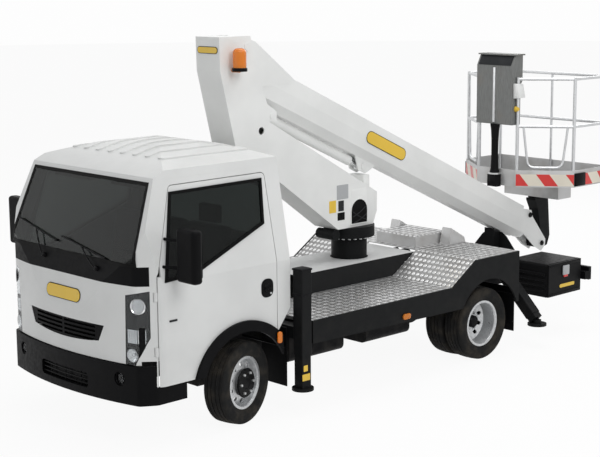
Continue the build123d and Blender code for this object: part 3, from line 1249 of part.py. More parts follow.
post_y = max(y for x, y in ring if x > FRONT_AXLE_X + BASKET_FRONT - 100)
post_x = max(x for x, y in ring)
with BuildPart() as console:
    with BuildSketch(Plane(origin=(post_x, 0, 0), x_dir=(1, 0, 0), z_dir=(0, -1, 0))):
        with BuildLine():
            Polyline((75, 2010), (75, 2600), (20, 2700), (-90, 2700), (-90, 2450), (-60, 2400), (-60, 2010), close=True)
        make_face()
    extrude(amount=post_y - TUBE_RADIUS - SEAT_GAP, both=True)
    fillet(console.edges().filter_by(Axis.Y), 10)
    roof_half = post_y - TUBE_RADIUS - SEAT_GAP
    with BuildSketch(Plane(origin=(post_x, 0, 2700))):
        with Locations((-35, 0)):
            Rectangle(130 + 2 * CONSOLE_EAVE, 2 * (roof_half + CONSOLE_EAVE))
    extrude(amount=CONSOLE_ROOF)
save(console, "console")

with BuildPart() as console_hose:
    hose_x = FRONT_AXLE_X + BASKET_FRONT + 30
    tube((hose_x, 0, BASKET_FLOOR + 20), (hose_x, 0, 2010 - SEAT_GAP), 24)
    block(BASKET_FRONT + SEAT_GAP, BASKET_FRONT + 70, -60, 60, BASKET_FLOOR - 10, BASKET_FLOOR + 110)
save(console_hose, "console_hose")

# Boom cradle, toolbox and lamps at the back

CRADLE_S = -4250.0
with BuildPart() as boom_cradle:
    rest = boom_point(0, BOOM_TOP - BOOM_DEPTH - 12)
    slope = BOOM_SIN / BOOM_COS
    rest_z = rest.Z + (FRONT_AXLE_X + CRADLE_S - rest.X) * slope
    with BuildSketch(front(CRADLE_S - 6)):
        with BuildLine():
            Polyline((-330, FRAME_TOP), (330, FRAME_TOP), (330, FRAME_TOP + 40), (150, rest_z - 40), (90, rest_z - 4), (-90, rest_z - 4),
                     (-150, rest_z - 40), (-330, FRAME_TOP + 40), close=True)
        make_face()
    extrude(amount=12)
    pad = [(CRADLE_S - 90, SUBFRAME_TOP), (CRADLE_S - 90, rest_z - 90 * slope), (CRADLE_S + 90, rest_z + 90 * slope), (CRADLE_S + 90, SUBFRAME_TOP)]
    extrude(outline(pad, side()), amount=60, both=True)
save(boom_cradle, "boom_cradle")

with BuildPart() as toolbox:
    block(BOX_REAR, BOX_FRONT, BOX_RIGHT, BOX_LEFT - BOX_DOOR, BOX_BOTTOM, BOX_TOP)
    fillet(toolbox.edges().filter_by(Axis.Y).group_by(Axis.Z)[-1], 25)
    block(BOX_REAR + BOX_WALL, BOX_FRONT - BOX_WALL, BOX_RIGHT + BOX_WALL, BOX_LEFT, BOX_BOTTOM + BOX_WALL, BOX_TOP - BOX_WALL, mode=Mode.SUBTRACT)
    block(BOX_REAR + 60, BOX_FRONT - 60, FRAME_WIDTH / 2, BOX_RIGHT, 520, 600)
    for station in (BOX_REAR, BOX_FRONT - BOX_SIDE):
        block(station, station + BOX_SIDE, BOX_LEFT - BOX_DOOR - 2, BOX_HINGE_Y + 8, BOX_BOTTOM + 2, BOX_HINGE_Z + 8)
    tube((FRONT_AXLE_X + BOX_REAR, BOX_HINGE_Y, BOX_HINGE_Z), (FRONT_AXLE_X + BOX_FRONT, BOX_HINGE_Y, BOX_HINGE_Z), BOX_HINGE_RADIUS)
save(toolbox, "toolbox")

with BuildPart() as toolbox_door:
    with BuildSketch(front(BOX_REAR + BOX_SIDE + SEAT_GAP)):
        with BuildLine():
            inner = BOX_LEFT - BOX_DOOR + SEAT_GAP
            Polyline((inner, BOX_BOTTOM + 2), (BOX_LEFT, BOX_BOTTOM + 2), (BOX_LEFT, BOX_TOP - 4), (inner, BOX_TOP - 4), close=True)
        make_face()
    extrude(amount=BOX_FRONT - BOX_REAR - 2 * BOX_SIDE - 2 * SEAT_GAP)
    fillet(toolbox_door.edges().filter_by(Axis.X).group_by(Axis.Z)[0].sort_by(Axis.Y)[0], BOX_HINGE_Z - BOX_BOTTOM - 2 - 0.1)
    tube((FRONT_AXLE_X + BOX_REAR, BOX_HINGE_Y, BOX_HINGE_Z), (FRONT_AXLE_X + BOX_FRONT, BOX_HINGE_Y, BOX_HINGE_Z),
         BOX_HINGE_RADIUS + PIN_PLAY, mode=Mode.SUBTRACT)
    block(-4200, -4130, BOX_LEFT, BOX_LEFT + 12, 640, 690)
save(toolbox_door, "toolbox_door")

with BuildPart() as rear_lamps:
    block(FRAME_REAR - 60, FRAME_REAR, -1000, 1000, 520, 600)
    for hand in (1, -1):
        block(FRAME_REAR - 100, FRAME_REAR - 60, hand * 780, hand * 1000, 510, 640)
save(rear_lamps, "rear_lamps")
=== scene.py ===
"""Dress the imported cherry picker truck: finishes, trim, tyres, seats, signs left bare, stage and camera."""
from __future__ import annotations

import json
import logging
import math
from contextlib import contextmanager
from dataclasses import dataclass, field
from enum import Enum
from typing import ClassVar, Iterable, Iterator, Sequence

import bpy
from mathutils import Matrix, Vector
from mathutils.bvhtree import BVHTree

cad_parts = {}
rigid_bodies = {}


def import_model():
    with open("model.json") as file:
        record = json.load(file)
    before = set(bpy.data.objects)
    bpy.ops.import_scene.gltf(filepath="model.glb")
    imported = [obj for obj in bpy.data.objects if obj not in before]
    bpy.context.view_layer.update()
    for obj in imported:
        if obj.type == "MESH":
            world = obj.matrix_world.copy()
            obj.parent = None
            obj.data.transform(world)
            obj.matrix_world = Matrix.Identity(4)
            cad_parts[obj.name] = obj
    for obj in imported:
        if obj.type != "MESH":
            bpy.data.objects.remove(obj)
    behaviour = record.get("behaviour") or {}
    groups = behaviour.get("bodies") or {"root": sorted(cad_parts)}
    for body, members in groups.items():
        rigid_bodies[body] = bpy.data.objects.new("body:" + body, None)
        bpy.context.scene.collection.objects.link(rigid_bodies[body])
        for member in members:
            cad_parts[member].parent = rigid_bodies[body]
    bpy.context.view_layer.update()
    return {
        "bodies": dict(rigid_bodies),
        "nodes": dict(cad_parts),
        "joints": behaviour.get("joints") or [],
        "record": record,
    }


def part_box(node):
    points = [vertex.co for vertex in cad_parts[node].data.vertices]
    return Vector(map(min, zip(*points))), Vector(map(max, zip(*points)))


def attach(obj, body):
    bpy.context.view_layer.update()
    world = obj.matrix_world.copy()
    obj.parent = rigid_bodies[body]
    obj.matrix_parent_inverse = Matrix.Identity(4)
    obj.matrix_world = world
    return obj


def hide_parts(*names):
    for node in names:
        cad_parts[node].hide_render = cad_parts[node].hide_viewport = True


LOG = logging.getLogger("cherry_picker")
AXLE_X = 2.065
WHEELBASE = 2.9
WHEEL_Z = 0.336
KINGPIN_Y = 0.640
KINGPIN_OFFSET = 0.155
REAR_WHEEL_Y = 0.757
STEER_AT_REST = math.radians(15.0)
AHEAD, LEFTWARD, UP = (1, 0, 0), (0, 1, 0), (0, 0, 1)
Colour = tuple[float, float, float]
Place = tuple[float, float, float]
Point = Sequence[float]
Profile = tuple[tuple[float, float], ...]
Rows = tuple[tuple[float, ...], ...]
Object = bpy.types.Object
Socket = bpy.types.NodeSocket


class Hand(Enum):
    """Side of the machine, as a sign along Y."""

    LEFT = 1
    RIGHT = -1

    @property
    def label(self) -> str:
        """Lower-case name of the side."""
        return self.name.lower()


def at(station: float, y: float, z: float) -> Vector:
    """Point given by its station ahead of the front axle.

    Args:
        station: metres ahead of the front axle.
        y: metres to the left.
        z: metres above the ground.

    Returns:
        The point in the row frame.
    """
    return Vector((AXLE_X + station, y, z))


class Graph:
    """A material's node tree with short calls for the nodes the finishes share."""

    def __init__(self, name: str) -> None:
        """Start a material with its Principled shader and object coordinates.

        Args:
            name: the material's name.
        """
        self.material = bpy.data.materials.new(name)
        self.material.use_nodes = True
        self.tree = self.material.node_tree
        self.shader = self.tree.nodes["Principled BSDF"]
        self.coords: Socket = self.node("ShaderNodeTexCoord").outputs["Object"]

    def node(self, kind: str, **settings: object) -> bpy.types.Node:
        """Add a node and set its properties.

        Args:
            kind: Blender's name of the node type.
            settings: properties to set on it.

        Returns:
            The node.
        """
        made = self.tree.nodes.new(kind)
        for key, value in settings.items():
            setattr(made, key, value)
        return made

    def feed(self, socket: Socket, value: Socket | float | Colour | Vector) -> None:
        """Link a socket, or set its constant.

        Args:
            socket: the input.
            value: a socket to link, or a constant.
        """
        if isinstance(value, bpy.types.NodeSocket):
            self.tree.links.new(value, socket)
        elif isinstance(value, (tuple, list)) and len(value) == 3 and socket.type == "RGBA":
            socket.default_value = (*value, 1.0)
        else:
            socket.default_value = value

    def set(self, **values: object) -> None:
        """Set or link the shader's own sockets, named with underscores for spaces."""
        for key, value in values.items():
            self.feed(self.shader.inputs[key.replace("_", " ")], value)

    def texture(self, kind: str, scale: float | Point, **settings: object) -> bpy.types.Node:
        """Add a node that reads object coordinates at a scale.

        Args:
            kind: Blender's name of the node type.
            scale: its scale.
            settings: properties to set on it.

        Returns:
            The node.
        """
        made = self.node(kind, **settings)
        self.feed(made.inputs["Vector"], self.coords)
        made.inputs["Scale"].default_value = scale
        return made

    def noise(self, scale: float, detail: float = 4.0, stretch: Point = (1, 1, 1)) -> Socket:
        """Grey noise on stretched object coordinates.

        Args:
            scale: cells per metre.
            detail: octaves.
            stretch: factors along X, Y and Z.

        Returns:
            Noise from nought to one.
        """
        mapping = self.texture("ShaderNodeMapping", stretch)
        made = self.node("ShaderNodeTexNoise")
        self.feed(made.inputs["Vector"], mapping.outputs["Vector"])
        made.inputs["Scale"].default_value = scale
        made.inputs["Detail"].default_value = detail
        return made.outputs["Fac"]

    def fit(self, value: Socket, low: float, high: float, first: float, last: float) -> Socket:
        """Map a range of values smoothly onto another.

        Args:
            value: the value.
            low: start of its range.
            high: end of its range.
            first: result at the start.
            last: result at the end.

        Returns:
            The mapped value.
        """
        made = self.node("ShaderNodeMapRange", interpolation_type="SMOOTHSTEP")
        for key, number in (("From Min", low), ("From Max", high), ("To Min", first), ("To Max", last)):
            made.inputs[key].default_value = number
        self.feed(made.inputs["Value"], value)
        return made.outputs["Result"]

    def sum(self, operation: str, first: Socket | float, second: Socket | float = 0.0, third: float = 0.0) -> Socket:
        """One arithmetic step.

        Args:
            operation: Blender's name of the operation.
            first: first value.
            second: second value, if it has one.
            third: third value, if it has one.

        Returns:
            The result.
        """
        made = self.node("ShaderNodeMath", operation=operation)
        for socket, value in zip(made.inputs, (first, second, third)):
            self.feed(socket, value)
        return made.outputs[0]

    def mix(self, factor: Socket | float, first: Socket | Colour, second: Socket | Colour) -> Socket:
        """Blend two colours.

        Args:
            factor: share of the second colour.
            first: first colour.
            second: second colour.

        Returns:
            The blend.
        """
        made = self.node("ShaderNodeMix", data_type="RGBA")
        self.feed(made.inputs[0], factor)
        self.feed(made.inputs[6], first)
        self.feed(made.inputs[7], second)
        return made.outputs[2]

    def axes(self) -> tuple[Socket, Socket, Socket]:
        """Object X, Y and Z as single values.

        Returns:
            The three sockets.
        """
        made = self.node("ShaderNodeSeparateXYZ")
        self.feed(made.inputs[0], self.coords)
        return made.outputs[0], made.outputs[1], made.outputs[2]

    def facing_up(self, low: float = 0.55, high: float = 0.75) -> Socket:
        """One on faces that look up, nought on upright ones.

        Args:
            low: upward part of the normal where it starts.
            high: upward part where it is one.

        Returns:
            The share.
        """
        geometry = self.node("ShaderNodeNewGeometry")
        parts = self.node("ShaderNodeSeparateXYZ")
        self.feed(parts.inputs[0], geometry.outputs["True Normal"])
        return self.fit(parts.outputs[2], low, high, 0.0, 1.0)

    def bump(self, height: Socket, strength: float, distance: float) -> None:
        """Raise the surface by a grey value.

        Args:
            height: grey value.
            strength: share of the effect.
            distance: height in metres of a step of one.
        """
        made = self.node("ShaderNodeBump")
        made.inputs["Strength"].default_value = strength
        made.inputs["Distance"].default_value = distance
        self.feed(made.inputs["Height"], height)
        self.set(Normal=made.outputs["Normal"])


@dataclass(frozen=True)
class Finish:
    """A surface finish that is made into a material once."""

    name: str
    colour: Colour
    roughness: float = 0.4
    made: ClassVar[dict[str, bpy.types.Material]] = {}

    def material(self) -> bpy.types.Material:
        """The finish's material, built at its first use.

        Returns:
            The material.
        """
        if self.name not in Finish.made:
            graph = Graph(self.name)
            self.build(graph)
            Finish.made[self.name] = graph.material
        return Finish.made[self.name]

    def build(self, graph: Graph) -> None:
        """Fill the node tree."""
        raise NotImplementedError

    def shade(self, factor: float, lift: float = 0.0) -> Colour:
        """The finish's colour made deeper or paler."""
        return tuple(min(1.0, channel * factor + lift) for channel in self.colour)

    def mottle(self, graph: Graph, grey: Socket, low: float, high: float, span: Point = (0.3, 0.7)) -> None:
        """Vary the roughness by a grey value, between two multiples of its own."""
        graph.set(Roughness=graph.fit(grey, *span, self.roughness * low, min(1.0, self.roughness * high)))


@dataclass(frozen=True)
class Paint(Finish):
    """Coach paint or enamel with faint cloudiness, orange peel and road dust low down."""

    coat: float = 0.35
    gloss: float = 0.5
    dust: float = 0.25
    peel: float = 0.04
    dust_colour: Colour = (0.16, 0.145, 0.125)

    def tone(self, graph: Graph) -> Socket:
        """Paint colour before dust."""
        cloud = graph.fit(graph.noise(2.2), 0.3, 0.7, 0.0, 1.0)
        return graph.mix(cloud, self.shade(0.95), self.shade(1.03, 0.001))

    def build(self, graph: Graph) -> None:
        """Fill the node tree.

        Args:
            graph: the material's node tree.
        """
        height = graph.fit(graph.axes()[2], 0.25, 1.05, 1.0, 0.0)
        patches = graph.fit(graph.noise(7.0, 6.0), 0.42, 0.75, 0.0, self.dust)
        dust = graph.sum("MULTIPLY", height, patches)
        graph.set(Base_Color=graph.mix(dust, self.tone(graph), self.dust_colour))
        self.mottle(graph, graph.noise(18.0, 5.0), 0.85, 1.2)
        graph.set(Coat_Weight=self.coat, Coat_Roughness=0.2, Specular_IOR_Level=self.gloss)
        graph.bump(graph.noise(420.0, 2.0), self.peel, 0.0006)


@dataclass(frozen=True)
class CapPaint(Paint):
    """Paint whose upward faces carry a second colour."""

    cap: Colour = (0.6, 0.6, 0.6)

    def tone(self, graph: Graph) -> Socket:
        """Side colour, with the cap's colour on top.

        Args:
            graph: the material's node tree.

        Returns:
            The colour.
        """
        cloud = graph.fit(graph.noise(3.0), 0.3, 0.7, 0.0, 0.12)
        top = graph.mix(cloud, self.cap, (0.3, 0.3, 0.3))
        return graph.mix(graph.facing_up(), self.colour, top)


@dataclass(frozen=True)
class Grained(Finish):
    """Moulded plastic or rubber with a fine leathery grain and scuffs."""

    grain: float = 320.0
    depth: float = 0.25
    scuff: float = 0.35
    gloss: float = 0.06

    def build(self, graph: Graph) -> None:
        """Fill the node tree.

        Args:
            graph: the material's node tree.
        """
        cells = graph.texture("ShaderNodeTexVoronoi", self.grain, feature="SMOOTH_F1")
        worn = graph.fit(graph.noise(5.0, 8.0), 0.52, 0.78, 0.0, self.scuff)
        graph.set(Base_Color=graph.mix(worn, self.colour, self.shade(1.6, 0.004)))
        self.mottle(graph, graph.noise(30.0), 0.85, 1.15)
        graph.set(Specular_IOR_Level=self.gloss)
        graph.bump(cells.outputs["Distance"], self.depth, 0.0008)


@dataclass(frozen=True)
class Metal(Finish):
    """Bare metal with drawn streaks, dull patches and stains."""

    streak: Point = (1, 1, 30)
    stain: float = 0.3
    metallic: float = 0.9

    def build(self, graph: Graph) -> None:
        """Fill the node tree.

        Args:
            graph: the material's node tree.
        """
        streaks = graph.noise(14.0, 6.0, self.streak)
        stains = graph.fit(graph.noise(4.5, 7.0), 0.45, 0.75, 0.0, self.stain)
        base = graph.mix(graph.fit(streaks, 0.3, 0.7, 0.0, 0.25), self.colour, self.shade(0.45))
        graph.set(Base_Color=graph.mix(stains, base, (0.20, 0.17, 0.14)))
        graph.set(Metallic=self.metallic)
        self.mottle(graph, streaks, 0.7, 1.4, (0.25, 0.75))
        graph.bump(streaks, 0.05, 0.0008)


@dataclass(frozen=True)
class TreadPlate(Finish):
    """Aluminium plate: bars that turn from cell to cell on the flat, round studs on the ramps."""

    pitch: float = 0.080
    bars: int = 3
    reach: float = 0.36
    stud_pitch: float = 0.052

    def studs(self, graph: Graph) -> Socket:
        """Round raised studs in straight rows.

        Args:
            graph: the material's node tree.

        Returns:
            One on the studs, nought between them.
        """
        squares = []
        for axis in graph.axes()[:2]:
            step = graph.sum("SUBTRACT", graph.sum("FRACT", graph.sum("DIVIDE", axis, self.stud_pitch)), 0.5)
            squares.append(graph.sum("MULTIPLY", step, step))
        return graph.fit(graph.sum("ADD", *squares), 0.07, 0.14, 1.0, 0.0)

    def build(self, graph: Graph) -> None:
        """Fill the node tree.

        Args:
            graph: the material's node tree.
        """
        x, y, _ = graph.axes()
        u = graph.sum("DIVIDE", x, self.pitch)
        v = graph.sum("DIVIDE", y, self.pitch)
        cell = graph.sum("ADD", graph.sum("FLOOR", u), graph.sum("FLOOR", v))
        odd = graph.sum("FLOORED_MODULO", cell, 2.0)
        fu = graph.sum("SUBTRACT", graph.sum("FRACT", u), 0.5)
        fv = graph.sum("SUBTRACT", graph.sum("FRACT", v), 0.5)
        raised = []
        for along, across in ((fu, fv), (fv, fu)):
            place = graph.sum("ADD", across, self.reach)
            strip = graph.sum("FRACT", graph.sum("MULTIPLY", place, self.bars / (2 * self.reach)))
            ridge = graph.fit(graph.sum("ABSOLUTE", graph.sum("SUBTRACT", strip, 0.5)), 0.30, 0.44, 1.0, 0.15)
            for axis in (along, across):
                inside = graph.fit(graph.sum("ABSOLUTE", axis), self.reach - 0.06, self.reach + 0.02, 1.0, 0.0)
                ridge = graph.sum("MULTIPLY", ridge, inside)
            raised.append(ridge)
        other = graph.sum("SUBTRACT", 1.0, odd)
        pattern = graph.sum("ADD", graph.sum("MULTIPLY", raised[0], odd), graph.sum("MULTIPLY", raised[1], other))
        flat = graph.facing_up(0.93, 0.97)
        sloped = graph.sum("MULTIPLY", self.studs(graph), graph.sum("SUBTRACT", 1.0, flat))
        pattern = graph.sum("ADD", graph.sum("MULTIPLY", pattern, flat), sloped)
        pattern = graph.sum("MULTIPLY", pattern, graph.facing_up(0.3, 0.5))
        grime = graph.fit(graph.noise(3.5, 8.0), 0.4, 0.7, 0.0, 0.45)
        ground = graph.mix(flat, self.shade(0.55), self.shade(0.32))
        floor = graph.mix(grime, ground, (0.12, 0.11, 0.10))
        level = graph.mix(pattern, floor, self.shade(1.3))
        sheet = graph.mix(grime, self.shade(0.85), (0.30, 0.28, 0.25))
        graph.set(Base_Color=graph.mix(graph.facing_up(0.2, 0.4), sheet, level))
        graph.set(Metallic=0.6)
        graph.set(Roughness=graph.fit(pattern, 0.0, 1.0, self.roughness * 1.3, self.roughness * 0.75))
        graph.bump(pattern, 0.7, 0.003)


@dataclass(frozen=True)
class Pane(Finish):
    """Window glass or a clear lens, tinted and dusty; the window glass is tinted dark as painted shade of the cab's
    inside.
    """

    clear: float = 0.92
    ripple: float = 0.0
    ior: float = 1.45

    def build(self, graph: Graph) -> None:
        """Fill the node tree.

        Args:
            graph: the material's node tree.
        """
        haze = graph.fit(graph.noise(6.0, 6.0), 0.5, 0.8, self.roughness, self.roughness + 0.10)
        tint = graph.fit(graph.noise(1.5), 0.3, 0.7, 0.0, 1.0)
        graph.set(Base_Color=graph.mix(tint, self.colour, self.shade(0.93)))
        graph.set(Roughness=haze, IOR=self.ior, Transmission_Weight=self.clear)
        if self.ripple:
            wave = graph.texture("ShaderNodeTexWave", self.ripple, bands_direction="Y")
            graph.bump(wave.outputs["Fac"], 0.35, 0.002)


@dataclass(frozen=True)
class Cloth(Finish):
    """Woven seat cloth with crossed threads and a soft sheen."""

    thread: float = 0.0035

    def build(self, graph: Graph) -> None:
        """Fill the node tree.

        Args:
            graph: the material's node tree.
        """
        height = None
        for direction in ("X", "Y", "Z"):
            wave = graph.texture("ShaderNodeTexWave", 0.3 / self.thread, bands_direction=direction).outputs["Fac"]
            height = wave if height is None else graph.sum("MAXIMUM", height, wave)
        fleck = graph.fit(graph.noise(160.0, 2.0), 0.5, 0.65, 0.0, 0.5)
        graph.set(Base_Color=graph.mix(fleck, self.colour, self.shade(2.2, 0.02)))
        graph.set(Roughness=self.roughness, Sheen_Weight=0.35)
        graph.bump(height, 0.3, 0.001)


@dataclass(frozen=True)
class TyreRubber(Finish):
    """Tyre rubber with cross sipes on the tread and fine rings on the walls, centred on one axle."""

    centre: tuple[float, float, float] = (0.0, 0.0, 0.0)
    steer: float = 0.0
    sipes: int = 68

    def build(self, graph: Graph) -> None:
        """Fill the node tree.

        Args:
            graph: the material's node tree.
        """
        moved = graph.node("ShaderNodeVectorMath", operation="SUBTRACT")
        graph.feed(moved.inputs[0], graph.coords)
        moved.inputs[1].default_value = self.centre
        turned = graph.node("ShaderNodeVectorRotate", rotation_type="Z_AXIS")
        graph.feed(turned.inputs["Vector"], moved.outputs[0])
        turned.inputs["Angle"].default_value = -self.steer
        parts = graph.node("ShaderNodeSeparateXYZ")
        graph.feed(parts.inputs[0], turned.outputs[0])
        x, across, z = parts.outputs
        radius = graph.sum("SQRT", graph.sum("ADD", graph.sum("MULTIPLY", x, x), graph.sum("MULTIPLY", z, z)))
        angle = graph.sum("DIVIDE", graph.sum("ARCTAN2", z, x), math.tau)
        lean = graph.sum("MULTIPLY", across, 0.25)
        strip = graph.sum("FRACT", graph.sum("MULTIPLY", graph.sum("ADD", angle, lean), float(self.sipes)))
        cut = graph.fit(graph.sum("ABSOLUTE", graph.sum("SUBTRACT", strip, 0.5)), 0.04, 0.09, 0.0, 1.0)
        tread = graph.fit(radius, 0.322, 0.328, 0.0, 1.0)
        sipe = graph.sum("SUBTRACT", 1.0, graph.sum("MULTIPLY", tread, graph.sum("SUBTRACT", 1.0, cut)))
        rings = graph.sum("SINE", graph.sum("MULTIPLY", radius, 900.0))
        wall = graph.sum("MULTIPLY", graph.sum("SUBTRACT", 1.0, tread), graph.sum("MULTIPLY", rings, 0.08))
        dust = graph.fit(graph.noise(9.0, 6.0), 0.4, 0.75, 0.0, 0.35)
        graph.set(Base_Color=graph.mix(dust, self.colour, (0.10, 0.085, 0.065)))
        self.mottle(graph, graph.noise(40.0), 0.9, 1.1)
        graph.set(Specular_IOR_Level=0.08)
        graph.bump(graph.sum("ADD", sipe, wall), 0.6, 0.004)


class Kit:
    """The finishes of this machine."""

    cab = Paint("cab_white", (0.705, 0.71, 0.70), 0.34, coat=0.1, dust=0.03, peel=0.015)
    boom = Paint("boom_white", (0.82, 0.825, 0.81), 0.38, coat=0.1, dust=0.05, peel=0.02)
    bed = Paint("bed_anthracite", (0.009, 0.0095, 0.010), 0.45, coat=0.0, gloss=0.07, dust=0.05)
    tunnel = CapPaint("tunnel_two_tone", (0.013, 0.0135, 0.014), 0.45, coat=0.0, gloss=0.1, dust=0.1,
                      cap=(0.62, 0.625, 0.62))
    chassis = Paint("chassis_black", (0.009, 0.009, 0.010), 0.5, coat=0.0, gloss=0.06, dust=0.15)
    cast = Paint("rough_castings", (0.020, 0.019, 0.018), 0.65, coat=0.0, gloss=0.08, dust=0.3, peel=0.2)
    trim = Grained("black_grained_trim", (0.004, 0.004, 0.0045), 0.46)
    smooth_trim = Grained("black_smooth_trim", (0.005, 0.005, 0.0055), 0.30, grain=900.0, depth=0.06, scuff=0.15)
    box = Grained("toolbox_black", (0.010, 0.010, 0.0105), 0.42, grain=240.0)
    dash = Grained("dash_grained", (0.030, 0.031, 0.033), 0.55, grain=380.0)
    hose = Grained("hose_black", (0.007, 0.007, 0.0075), 0.55, grain=500.0, depth=0.12)
    seal = Grained("rubber_seal", (0.004, 0.004, 0.004), 0.5, grain=700.0, depth=0.08, scuff=0.1)
    tread = TreadPlate("tread_plate", (0.66, 0.66, 0.66), 0.34)
    tube = Metal("galvanised_tube", (0.66, 0.67, 0.68), 0.34, streak=(6, 6, 1), stain=0.15)
    worn = Metal("worn_grey_sheet", (0.19, 0.195, 0.19), 0.5, streak=(10, 10, 1), stain=0.4, metallic=0.3)
    wheel = Metal("wheel_silver", (0.60, 0.61, 0.62), 0.36, streak=(3, 3, 3), stain=0.12, metallic=0.7)
    chrome = Metal("hard_chrome", (0.78, 0.79, 0.80), 0.12, streak=(2, 2, 2), stain=0.03, metallic=1.0)
    reflector = Metal("lamp_reflector", (0.58, 0.59, 0.60), 0.16, streak=(2, 2, 2), stain=0.25, metallic=1.0)
    bolt = Metal("zinc_bolt", (0.62, 0.63, 0.63), 0.35, stain=0.1)
    mirror = Metal("mirror_silver", (0.86, 0.87, 0.88), 0.03, stain=0.0, metallic=1.0)
    # Painted shade: the window glass's dark tint stands in for the shaded cab inside seen through it.
    window = Pane("window_glass", (0.11, 0.125, 0.12), 0.02, clear=0.95, ior=1.2)
    lens = Pane("lamp_clear", (0.93, 0.95, 0.96), 0.02, clear=0.97, ior=1.18)
    amber = Pane("amber_lens", (0.95, 0.28, 0.015), 0.12, clear=0.35, ripple=60.0)
    red_lens = Pane("red_lens", (0.62, 0.015, 0.012), 0.12, clear=0.3, ripple=60.0)
    seat = Cloth("seat_cloth", (0.028, 0.029, 0.032), 0.85)
    yellow = Paint("plate_yellow", (0.80, 0.52, 0.03), 0.4, dust=0.1)
    grey_plate = Paint("plate_grey", (0.40, 0.41, 0.42), 0.4, dust=0.1)
    red = Paint("band_red", (0.68, 0.020, 0.015), 0.35, dust=0.05)
    cream = Paint("band_cream", (0.80, 0.74, 0.62), 0.4, dust=0.1)


